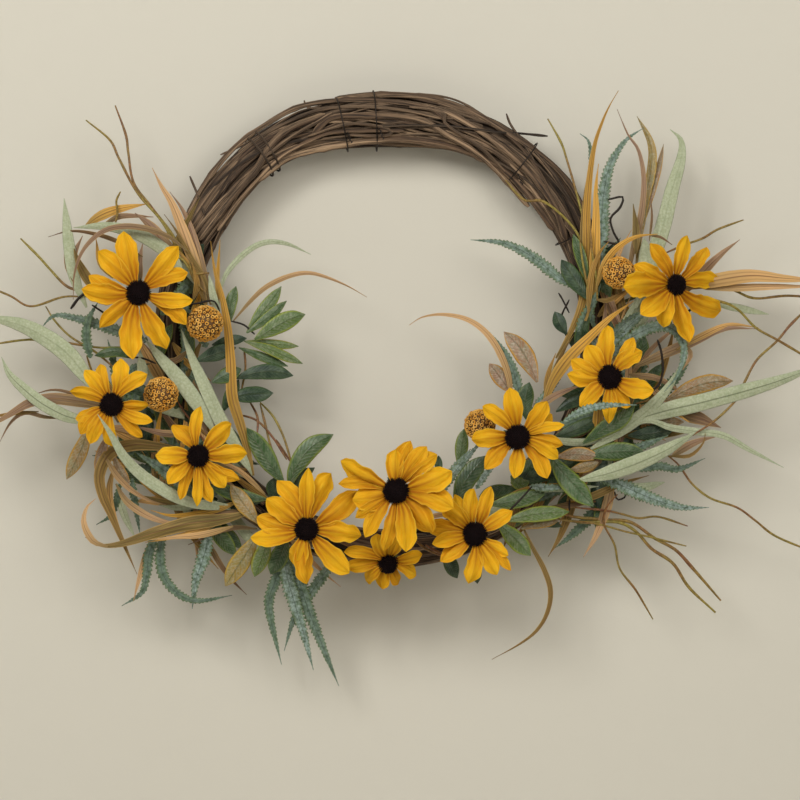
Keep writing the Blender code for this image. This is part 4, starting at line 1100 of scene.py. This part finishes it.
TENDRILS_LEFT = (
    (1.9, 0.40, 34, 12, ((-146, -96), (-160, -66), (-178, -42), (-191, -24), (-195, -2), (-197, 12),
                         (-205, 34))),
    (1.9, 0.20, 34, 12, ((-150, -92), (-168, -56), (-188, -32), (-202, -6), (-209, 8), (-227, 23))),
    (1.7, 0.20, 36, 20, ((-205, -57), (-203, -46), (-204, -38), (-201, -31))),
    (2, 0.25, 36, 16, ((-228, -106), (-241, -102), (-253, -90), (-262, -80), (-276, -66))),
    (1.7, 0.75, 36, 14, ((-226, -110), (-244, -110), (-268, -117), (-284, -109), (-306, -100))),
    (1.7, 0.35, 38, 22, ((-202, -166), (-220, -151), (-238, -140), (-250, -128), (-257, -117))),
    (1.7, 0.10, 38, 18, ((-190, -147), (-216, -148), (-244, -144), (-270, -142), (-306, -147))),
    (1.7, 0.20, 40, 30, ((-226, -154), (-222, -166), (-216, -176))),
    (1.7, 0.60, 36, 26, ((-82, -238), (-88, -222), (-92, -206), (-96, -190))),
    (1.7, 0.20, 36, 26, ((-72, -236), (-78, -216), (-86, -200), (-96, -189))),
    (1.7, 0.70, 36, 28, ((-76, -232), (-86, -216), (-98, -203), (-112, -198))),
    (1.7, 0.80, 34, 26, ((-98, -212), (-98, -200), (-104, -188))),
    (1.5, 0.80, 34, 26, ((-73, -234), (-78, -226), (-84, -217))),
    (1.7, 0.85, 30, 30, ((-108, -148), (-107, -164), (-110, -180))),
    (1.7, 0.85, 34, 34, ((-114, -240), (-128, -222), (-150, -200), (-158, -188))),
    (1.5, 0.90, 34, 34, ((-102, -244), (-124, -232), (-148, -206))),
    (1.9, 0.15, 42, 40, ((-134, -92), (-146, -92), (-154, -82), (-164, -78))),
    (1.7, 0.20, 42, 42, ((-138, -106), (-146, -96), (-149, -84))),
)
TENDRILS_RIGHT = (
    (1.7, 0.10, 30, 10, ((150, -64), (141, -30), (134, -6), (130, 6), (120, 24))),
    (1.9, 0.25, 30, 22, ((152, -92), (144, -66), (132, -50), (116, -38), (102, -37), (88, -22))),
    (1.7, 0.10, 42, 40, ((157, -112), (156, -94), (153, -76), (152, -60))),
    (1.5, 0.10, 42, 40, ((150, -104), (146, -84), (144, -68))),
    (1.7, 0.60, 34, 16, ((206, -78), (222, -71), (236, -66), (248, -59), (267, -52))),
    (1.9, 0.15, 40, 18, ((222, -92), (246, -98), (262, -106), (276, -111), (300, -109), (326, -111))),
    (1.9, 0.20, 40, 18, ((222, -108), (248, -113), (262, -119), (276, -133), (292, -142), (304, -149),
                         (326, -162))),
    (1.9, 0.55, 46, 16, ((228, -214), (246, -202), (262, -186), (268, -173), (277, -157), (292, -143),
                         (303, -130), (322, -112))),
    (1.7, 0.45, 40, 16, ((206, -226), (218, -236), (228, -250), (242, -261), (262, -268), (276, -278),
                         (292, -290), (326, -304))),
    (1.7, 0.65, 36, 18, ((140, -268), (162, -270), (176, -273), (188, -276), (203, -275), (225, -282))),
    (2.4, 0.55, 36, 14, ((120, -270), (140, -275), (162, -277), (182, -279), (200, -291), (216, -300),
                         (230, -315), (250, -338))),
    (2.4, 0.20, 36, 14, ((124, -276), (146, -279), (172, -279), (186, -286), (198, -299), (214, -310),
                         (226, -328), (246, -347))),
    (1.5, 0.35, 36, 20, ((140, -278), (160, -281), (178, -286), (196, -290), (208, -293), (224, -297))),
    (1.7, 0.50, 44, 14, ((172, -258), (164, -268), (162, -280), (170, -296), (174, -314), (186, -330),
                         (199, -352))),
    (2, 0.80, 34, 34, ((28, -296), (40, -302), (46, -296), (36, -288))),
    (1.9, 0.95, 30, 30, ((20, -292), (30, -300), (44, -304), (52, -298))),
    (1.5, 0.60, 40, 34, ((182, -200), (206, -206), (226, -208))),
    (1.7, 0.40, 40, 36, ((186, -190), (206, -186), (228, -190), (246, -186))),
)
WIRE_ENDS_LEFT = (
    (1.4, 0.5, 52, 50, ((-158, -116), (-144, -115), (-131, -113), (-126, -121))),
    (2.0, 0.5, 42, 40, ((-222, -104), (-231, -110), (-238, -119))),
    (1.4, 0.5, 40, 38, ((-118, -128), (-108, -131), (-100, -138))),
    (1.4, 0.5, 44, 44, ((-196, -155), (-184, -156), (-174, -160))),
    (1.6, 0.5, 48, 46, ((-222, -116), (-216, -120), (-210, -124))),
)
WIRE_ENDS_RIGHT = (
    (1.7, 0.5, 40, 36, ((165, -37), (176, -35), (174, -43), (167, -51), (169, -61), (173, -70), (160, -68))),
    (1.8, 0.5, 50, 46, ((202, -142), (205, -152), (206, -166), (203, -176), (198, -180))),
    (1.5, 0.5, 58, 56, ((108, -252), (100, -261), (91, -270))),
    (1.8, 0.5, 40, 38, ((227, -92), (231, -88), (235, -84))),
    (2.0, 0.5, 44, 42, ((222, -124), (225, -121), (229, -118))),
    (1.4, 0.5, 34, 34, ((170, -256), (172, -262), (178, -260), (178, -256))),
    (1.5, 0.5, 34, 30, ((136, -112), (130, -126), (134, -140))),
    (1.5, 0.5, 40, 40, ((136, -262), (136, -270))),
    (1.4, 0.5, 30, 26, ((136, -122), (131, -112), (128, -107))),
)
for side, rows, ends in (("left", TENDRILS_LEFT, WIRE_ENDS_LEFT), ("right", TENDRILS_RIGHT, WIRE_ENDS_RIGHT)):
    for name, part, finish, slot in (("tendrils_wavy", rows, tendril, "tendrils"),
                                     ("wire_ends", ends, wire_finish, "wire")):
        lines = []
        for width, tone, root, tip, points in part:
            last = len(points) - 1
            line = [spot(x, z, root + (tip - root) * i / last) for i, (x, z) in enumerate(points)]
            lines.append((smooth(line, 0.0028), width * MM / 2, tone, (0, 0)))
        share = {"Knuckle Height": 0.15, "Lumps": 0.3, "Splits": 0,
                 "Tip Share": 0.35 if finish is tendril else 0.02}
        piece = grown(f"{side}_{name}", centre_lines(name, lines), vine_tree, finish, share)
        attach(piece, wreath)
        if finish is tendril:
            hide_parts(f"{side}_tendrils")


# ---------------------------------------------------------------- Flower stems and calyxes
# Each head stands on a bendable wire under smooth olive plastic, wound onto the ring's
# front. The head's green calyx is pressed onto the stem's end, and its sepals lie open.

stem_plastic, tree, shader = new_finish("stem_plastic", 0.5)
streak_at = put(tree, "ShaderNodeMapping", {"Scale": (1.0, 0.25, 1.0)})
tree.links.new(put(tree, "ShaderNodeTexCoord").outputs["Object"], streak_at.inputs["Vector"])
streak = put(tree, "ShaderNodeTexNoise", {"Vector": streak_at.outputs[0], "Scale": 700.0, "Detail": 3.0})
streak_share = ranged(tree, streak.outputs["Fac"], 0.35, 0.65)
coloured(tree, shader, mixed(tree, streak_share, tint(58, 62, 26), tint(104, 108, 50)))
bumped(tree, shader, streak.outputs["Fac"], 0.3, 0.0002)
for number in range(1, 11):
    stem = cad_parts[f"stem_{number}"]
    stem.data.materials.clear()
    stem.data.materials.append(stem_plastic)

# Hub place and depth in mm, disc radius, head turned right and tipped down in degrees, and
# the petals in the order they were threaded: tip, half width in mm. The rear layer is last.
HEADS = (
    (-187, -107, 64, 9.5, 0, 0,
     ((-198, -61, 8), (-157, -72, 7.5), (-146, -112, 6.5), (-166, -149, 7.5), (-191, -157, 8.5),
      (-229, -104, 8), (-217, -76, 7.5)),
     ((-150, -92, 6.5), (-151, -131, 6.5), (-216, -133, 6.5), (-224, -94, 6))),
    (-207, -190.6, 75, 9.0, 0, 0,
     ((-227, -165, 5.5), (-200, -156, 6.5), (-180, -168, 6), (-176, -203, 5), (-206, -222, 5),
      (-223, -220, 6), (-238, -180, 5.5)),
     ((-215, -161, 5), (-179, -192, 5), (-184, -215, 4.5), (-231, -213, 5.5), (-234, -201, 5.5))),
    (-142, -229, 64, 8.5, 0, 0,
     ((-140, -192, 4.6), (-117, -205, 7), (-106, -227, 7.6), (-122, -253, 6), (-143, -267, 4.2),
      (-165, -250, 6.2), (-174, -229, 7)),
     ((-111, -247, 5), (-132, -264, 5), (-161, -205, 7), (-156, -262, 5))),
    (-61, -284, 65, 9.0, 0, 0,
     ((-59, -238, 7), (-42, -242, 8.5), (-20, -289, 8), (-29, -317, 8), (-69, -313, 7.5),
      (-103, -290, 7.5), (-91, -261, 8)),
     ((-23, -255, 8.5), (-61, -325, 7.5), (-98, -275, 8), (-83, -247, 7))),
    (6, -255, 84, 10, 0, 0,
     ((-36, -233, 8.5), (-26, -262, 10), (13, -301, 8), (49, -268, 9), (48, -240, 9), (6, -224, 7.5)),
     ((-17, -290, 7), (-3, -301, 5.5), (-24, -275, 5), (-37, -250, 5), (33, -287, 9), (37, -228, 7.5),
      (29, -222, 6.5), (17, -218, 7))),
    (0, -308, 50, 8.0, 0, 35,
     ((-33, -301, 5), (-17, -323, 5), (-4, -329, 6), (21, -319, 5.5), (26, -303, 5), (10, -288, 6),
      (-8, -287, 6.5)),
     ((-32, -314, 5.5), (8, -326, 5))),
    (65, -288, 62, 9.5, 0, 0,
     ((50, -258, 5), (64, -254, 6), (93, -270, 6), (90, -304, 5), (82, -318, 6.5), (60, -324, 6.5),
      (33, -295, 6), (39, -265, 7.5)),
     ((77, -252, 6), (92, -315, 4.5), (39, -308, 7), (29, -281, 7))),
    (97, -215, 73, 9.5, 0, 0,
     ((91, -178, 7.5), (119, -188, 6.5), (132, -206, 4.5), (127, -231, 5.5), (94, -246, 6.5),
      (63, -217, 7.5), (71, -192, 6)),
     ((123, -198, 6.5), (131, -221, 5.5), (119, -246, 6.5), (72, -239, 6.5))),
    (166, -170, 66, 9.5, 0, 0,
     ((165, -132, 7.5), (190, -151, 7), (199, -180, 8), (165, -205, 6), (144, -192, 7),
      (134, -168, 6.5), (149, -146, 7.5)),
     ((182, -192, 6), (137, -157, 6), (184, -140, 5))),
    (214, -101, 62, 8.0, 38, 0,
     ((224, -64, 6), (248, -99, 7), (250, -120, 8), (226, -144, 7), (206, -133, 7), (176, -103, 10),
      (189, -123, 8.5)),
     ((196, -70, 6), (239, -72, 5.5), (184, -86, 7))),
)


def head_axes(turn, tilt):
    """The head's rotation: its face looks along -Y before it is turned and tipped."""
    return Matrix.Rotation(math.radians(turn), 3, "Z") @ Matrix.Rotation(math.radians(tilt), 3, "X")


def on_head(head, x, z, forward):
    """A place that shows at plan x, z and lies forward mm in front of the head's own plane."""
    hub = spot(*head[:3])
    facing = head_axes(head[4], head[5]) @ Vector((0, -1, 0))
    place = spot(x, z, head[2])
    place.y += ((hub - place).dot(facing) + forward * MM) / facing.y
    return place


SEPALS = 9
for number, head in enumerate(HEADS, 1):
    hub, axes = spot(*head[:3]), head_axes(head[4], head[5])
    back = axes @ Vector((0, 1, 0))
    tube = [hub + back * (0.0044 - 0.0009 * i) for i in range(6)]
    cup_line = centre_lines("calyx", [(tube, 0.0034, 0.3, (0, 0))])
    calyx = grown(f"calyx_{number}", cup_line, vine_tree, stem_plastic,
                  {"Knuckle Height": 0, "Lumps": 0.1, "Splits": 0.0002, "Tip Share": 0.9})
    chance = random.Random(number)
    rows = []
    for i in range(SEPALS):
        turn = math.radians(i * 360 / SEPALS + chance.uniform(-8, 8))
        reach = chance.uniform(0.009, 0.012)
        arm = axes @ Vector((math.cos(turn), 0, math.sin(turn)))
        line = [hub + arm * reach * t / 6 + back * (0.0022 + 0.0016 * (t / 6) ** 2) for t in range(7)]
        rows.append((line, 0.0024, chance.random(), (-8, 12)))
    sepals = grown(f"sepals_{number}", centre_lines("sepals", rows), blade_tree, oval,
                   {"Thickness": 0.10, "Fold": -0.2, "Base Width": 0.7, "Ripple": 0.0003, "Seed": number})
    for piece in (calyx, sepals):
        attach(piece, f"flower_head_{number}")


# ---------------------------------------------------------------- Petals
# Golden yellow fabric, heat-pressed with long folds so that each petal cups and its tip
# curls its own way. They lie in two layers on the calyx, the rear ones showing between.
# Shade is painted into the colour: the rear layer, the middle fold and the creases near the
# root are painted darker, and a painted highlight lightens each petal's edges.

petal_fabric, tree, shader = new_finish("petal_fabric", 0.75)
shader.inputs["Specular IOR Level"].default_value = 0.18
shader.inputs["Subsurface Weight"].default_value = 0.08
shader.inputs["Subsurface Scale"].default_value = 0.002
along, across, run, tone = leaf_values(tree)
lines = grouped(tree, ribs, {"Run": run, "Across": across, "Ribs": 3.0, "Leaf": tone, "Streak Length": 0.014})
# A higher tone paints the gold darker; the rear layer's tone is higher, which paints shade on it behind the
# front petals.
gold = mixed(tree, tone, (0.82, 0.42, 0.005), (0.68, 0.29, 0.002))
streaks = ranged(tree, lines["Streaks"], 0.36, 0.68)
gold = mixed(tree, product(tree, streaks, 0.55), gold, (0.93, 0.56, 0.030))
# Painted shade along the middle fold.
fold_shade = grouped(tree, veins, {"Along": along, "Across": across, "Pairs": 1.0, "Slant": 0.0})
gold = mixed(tree, product(tree, fold_shade["Midrib"], 0.35), gold, (0.50, 0.18, 0.0))
# Painted shade in the creases near the root: darker towards the root, deepest where the ribs lie.
root_share = ranged(tree, along, 0.72, 0.20)
creased = total(tree, product(tree, lines["Ribs"], 0.6), 0.4)
gold = mixed(tree, product(tree, root_share, creased), gold, (0.36, 0.105, 0.001))
# Painted highlight along the petal's edges.
edge = ranged(tree, calc(tree, "ABSOLUTE", across), 0.86, 1.0)
gold = mixed(tree, product(tree, edge, 0.35), gold, (0.95, 0.66, 0.09))
coloured(tree, shader, gold)
relief = total(tree, product(tree, lines["Ribs"], 0.3), lines["Streaks"])
bumped(tree, shader, relief, 0.8, 0.0006)

# Where a petal starts on its way from the hub, how far apart the layers lie in mm, and how
# much each petal cups forward over its length.
PETAL_START, PETAL_STEPS, LAYERS_APART, CUP = 0.10, 8, 1.5, 0.075
for number, head in enumerate(HEADS, 1):
    chance = random.Random(40 + number)
    rows = []
    for layer, petals in ((0, head[6]), (1, head[7])):
        for x, z, half in petals:
            reach = math.hypot(x - head[0], z - head[1])
            sway = chance.uniform(-0.10, 0.10)
            arch, droop = chance.uniform(1.5, 4.5), chance.uniform(-8.0, 2.5)
            line = []
            for i in range(PETAL_STEPS + 1):
                t = PETAL_START + 0.90 * i / PETAL_STEPS
                bow = sway * math.sin(math.pi * t)
                forward = 0.4 - LAYERS_APART * layer + CUP * reach * t
                forward += arch * math.sin(math.pi * t * 0.9) + droop * t ** 4
                line.append(on_head(head, head[0] + (x - head[0]) * t + (z - head[1]) * bow,
                                    head[1] + (z - head[1]) * t - (x - head[0]) * bow, forward))
            # The rear layer gets the higher tone, so it is painted darker as shade.
            tone = min(1.0, 0.55 * layer + chance.uniform(0.0, 0.5))
            rows.append((smooth(line, 0.0016), half * MM, tone,
                         (chance.uniform(-12, 12), chance.uniform(-42, 42))))
    piece = grown(f"head_{number}_petals", centre_lines("petals", rows), blade_tree, petal_fabric, {
        "Thickness": 0.05, "Fold": 0.26, "Creases": 1.9, "Crease Depth": 0.21, "Widest At": 0.60,
        "Base Width": 0.12,
        "Tip Power": 3.4, "Ripple": 0.0085, "Ruffle": 0.60, "Seed": number,
    })
    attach(piece, f"flower_head_{number}")
    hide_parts(f"petals_{number}")


# ---------------------------------------------------------------- Flower cones
# The dark middle of each flower is a dome flocked with short blackish bristles that lean
# a little each way and stand in spirals.

GOLDEN_ANGLE = 2.3999632
studded_tree, size = sized_tree("studded_dome_or_ball", {
    "Radius": 0.0095, "Height": 0.0075, "Count": 260.0, "Whole": 0.0,
    "Stud Size": 0.0005, "Stud Length": 0.0012, "Rings": 0.0, "Uneven": 0.3, "Seed": 1.0,
})
points = put(studded_tree, "GeometryNodePoints", {"Count": size["Count"]})
index = put(studded_tree, "GeometryNodeInputIndex").outputs[0]
share = calc(studded_tree, "DIVIDE", total(studded_tree, index, 0.5), size["Count"])
fall = product(studded_tree, share, total(studded_tree, size["Whole"], 1.0))
up = calc(studded_tree, "SUBTRACT", 1.0, fall)
out = calc(studded_tree, "SUBTRACT", 1.0, product(studded_tree, up, up))
out = calc(studded_tree, "SQRT", calc(studded_tree, "MAXIMUM", out, 0.0))
turn = product(studded_tree, index, GOLDEN_ANGLE)
level = [product(studded_tree, out, calc(studded_tree, kind, turn)) for kind in ("COSINE", "SINE")]
place = put(studded_tree, "ShaderNodeCombineXYZ", {
    "X": product(studded_tree, level[0], size["Radius"]),
    "Y": product(studded_tree, level[1], size["Radius"]),
    "Z": product(studded_tree, up, size["Height"]),
}).outputs[0]
away = put(studded_tree, "ShaderNodeCombineXYZ",
           {"X": level[0], "Y": level[1], "Z": total(studded_tree, up, 0.25)})
jitter = put(studded_tree, "FunctionNodeRandomValue", {"ID": index, "Seed": size["Seed"]},
             data_type="FLOAT_VECTOR")
leaning = put(studded_tree, "ShaderNodeVectorMath", {0: jitter.outputs[0], 1: (0.5, 0.5, 0.5)},
              operation="SUBTRACT")
leaning = put(studded_tree, "ShaderNodeVectorMath", {0: leaning.outputs[0], "Scale": size["Uneven"]},
              operation="SCALE")
away = put(studded_tree, "ShaderNodeVectorMath", {0: away.outputs[0], 1: leaning.outputs[0]}, operation="ADD")
placed = put(studded_tree, "GeometryNodeSetPosition", {"Geometry": points.outputs[0], "Position": place})
bristle = put(studded_tree, "GeometryNodeMeshCone", {
    "Vertices": 6, "Radius Top": product(studded_tree, size["Stud Size"], 0.55),
    "Radius Bottom": size["Stud Size"],
    "Depth": size["Stud Length"]})
hoop = put(studded_tree, "GeometryNodeCurvePrimitiveCircle", {"Resolution": 7, "Radius": size["Stud Size"]})
wire = put(studded_tree, "GeometryNodeCurvePrimitiveCircle",
           {"Resolution": 5, "Radius": product(studded_tree, size["Stud Size"], 0.46)})
cup = put(studded_tree, "GeometryNodeCurveToMesh",
          {"Curve": hoop.outputs[0], "Profile Curve": wire.outputs[0]})
stretched = put(studded_tree, "GeometryNodeTransform", {"Geometry": cup.outputs[0], "Scale": (1.0, 1.0, 1.9)})
either = put(studded_tree, "GeometryNodeSwitch",
             {"Switch": calc(studded_tree, "GREATER_THAN", size["Rings"], 0.5),
             "False": bristle.outputs["Mesh"], "True": stretched.outputs[0]}, input_type="GEOMETRY")
aim = put(studded_tree, "FunctionNodeAlignEulerToVector", {"Vector": away.outputs[0]}, axis="Z")
bigger = put(studded_tree, "FunctionNodeRandomValue", {"ID": index, "Seed": 7}, data_type="FLOAT")
scale = total(studded_tree, 1.0, product(studded_tree, calc(studded_tree, "SUBTRACT", bigger.outputs[1], 0.5),
                                            size["Uneven"]))
studs = put(studded_tree, "GeometryNodeInstanceOnPoints", {
    "Points": placed.outputs[0], "Instance": either.outputs[0], "Rotation": aim.outputs[0], "Scale": scale})
core = put(studded_tree, "GeometryNodeMeshUVSphere", {"Segments": 24, "Rings": 16, "Radius": 1.0})
squeeze = put(studded_tree, "ShaderNodeCombineXYZ", {
    "X": product(studded_tree, size["Radius"], 0.97), "Y": product(studded_tree, size["Radius"], 0.97),
    "Z": product(studded_tree, size["Height"], 0.97)})
core = put(studded_tree, "GeometryNodeTransform",
           {"Geometry": core.outputs["Mesh"], "Scale": squeeze.outputs[0]})
apart = put(studded_tree, "ShaderNodeSeparateXYZ",
            {0: put(studded_tree, "GeometryNodeInputPosition").outputs[0]})
lowest = product(studded_tree, calc(studded_tree, "SUBTRACT", size["Whole"], 1.0), -1.0)
floor_z = product(studded_tree, calc(studded_tree, "SUBTRACT", 1.0, lowest), -1.0)
raised = calc(studded_tree, "MAXIMUM", apart.outputs["Z"], calc(studded_tree, "SUBTRACT", floor_z, 0.0006))
sat = put(studded_tree, "ShaderNodeCombineXYZ",
          {"X": apart.outputs["X"], "Y": apart.outputs["Y"], "Z": raised})
core = put(studded_tree, "GeometryNodeSetPosition", {"Geometry": core.outputs[0], "Position": sat.outputs[0]})
both = put(studded_tree, "GeometryNodeJoinGeometry")
real_studs = put(studded_tree, "GeometryNodeRealizeInstances", {"Geometry": studs.outputs[0]})
studded_tree.links.new(real_studs.outputs[0], both.inputs[0])
studded_tree.links.new(core.outputs[0], both.inputs[0])
# Each point's height above the core, which the florets' finish reads to paint shade in the gaps.
here = put(studded_tree, "GeometryNodeInputPosition").outputs[0]
reach = put(studded_tree, "ShaderNodeVectorMath", {0: here}, operation="LENGTH")
high = calc(studded_tree, "DIVIDE",
            calc(studded_tree, "SUBTRACT", reach.outputs["Value"],
                 product(studded_tree, size["Radius"], 0.95)),
            product(studded_tree, size["Radius"], 0.10))
end_tree(studded_tree, kept(studded_tree, both.outputs[0], "rise", high), size["Material"])


def studded(name, centre, axes, finish, sizes):
    """A studded dome or ball, stood at its place with its crown along the head's face."""
    dot = bpy.data.meshes.new(name)
    dot.from_pydata([(0, 0, 0)], [], [])
    made = grown(name, dot, studded_tree, finish, sizes)
    crown = Matrix.Rotation(math.radians(90), 3, "X")
    made.data.transform(Matrix.Translation(centre) @ (axes @ crown).to_4x4())
    return made


flock, tree, shader = new_finish("dark_flock", 0.9)
shader.inputs["Specular IOR Level"].default_value = 0.2
speck = mottle(tree, 1400, 0.52, 0.72)
flocked = mixed(tree, product(tree, speck, 0.8), (0.0075, 0.0030, 0.0036), (0.050, 0.018, 0.014))
coloured(tree, shader, flocked)
bumped(tree, shader, speck, 0.5, 0.0003)
for number, head in enumerate(HEADS, 1):
    axes = head_axes(head[4], head[5])
    centre = spot(*head[:3]) + axes @ Vector((0, -0.0014, 0))
    cone = studded(f"head_{number}_cone", centre, axes, flock, {
        "Radius": head[3] * MM * 0.87, "Height": 0.0072, "Count": 280, "Stud Size": 0.00042,
        "Stud Length": 0.0017,
        "Uneven": 0.5, "Seed": number})
    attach(cone, f"flower_head_{number}")
    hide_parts(f"cone_{number}")


# ---------------------------------------------------------------- Ball heads
# Round seed heads: a foam ball covered in about 160 little golden-brown cups, with
# painted shade, near-black, in the gaps between them and low on each cup. Each stands on
# its own short stem.

florets, tree, shader = new_finish("golden_florets", 0.65)
height = on_mesh(tree, "rise")
# Painted shade: the lower a point lies below the cups' tops, the darker it is painted, near-black in the
# gaps.
clear_of_painted_shade = ranged(tree, height, 0.0, 1.0)
shade = mixed(tree, mottle(tree, 260, 0.40, 0.62), tint(212, 142, 34), tint(244, 192, 98))
shade = mixed(tree, calc(tree, "POWER", clear_of_painted_shade, 1.4), (0.045, 0.013, 0.002), shade)
coloured(tree, shader, shade)
bumped(tree, shader, mottle(tree, 1500, 0.3, 0.7), 0.4, 0.0002)
BALL_CORE_SHARE, CUPS_PER_MM = 0.955, 13
# Place, depth and radius in mm.
BALLS = ((-137, -130, 56, 13.4), (-170, -183, 56, 12.7), (173, -92, 52, 11.8), (69, -206, 53, 11.5))
for number, (x, z, depth, radius) in enumerate(BALLS, 1):
    core = radius * MM * BALL_CORE_SHARE
    ball = studded(f"floret_ball_{number}", spot(x, z, depth), Matrix.Identity(3), florets, {
        "Radius": core, "Height": core, "Count": CUPS_PER_MM * radius, "Whole": 1.0, "Rings": 1.0,
        "Stud Size": 0.00105, "Uneven": 0.55, "Seed": 30 + number})
    stalk = smooth([
        spot(x, z, depth - radius * 0.5), spot(x, z, depth - 20), spot(x * 0.99, z * 0.99, 26),
        spot(x * 0.97, z * 0.98, 17),
    ], 0.003)
    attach(ball, wreath)
    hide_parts(f"ball_{number}")
    stalk = centre_lines("stalk", [(stalk, 0.0013, 0.5, (0, 0))])
    stem = grown(f"ball_stem_{number}", stalk, vine_tree, stem_plastic,
                 {"Knuckle Height": 0.1, "Lumps": 0.1, "Splits": 0, "Tip Share": 0.02})
    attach(stem, wreath)
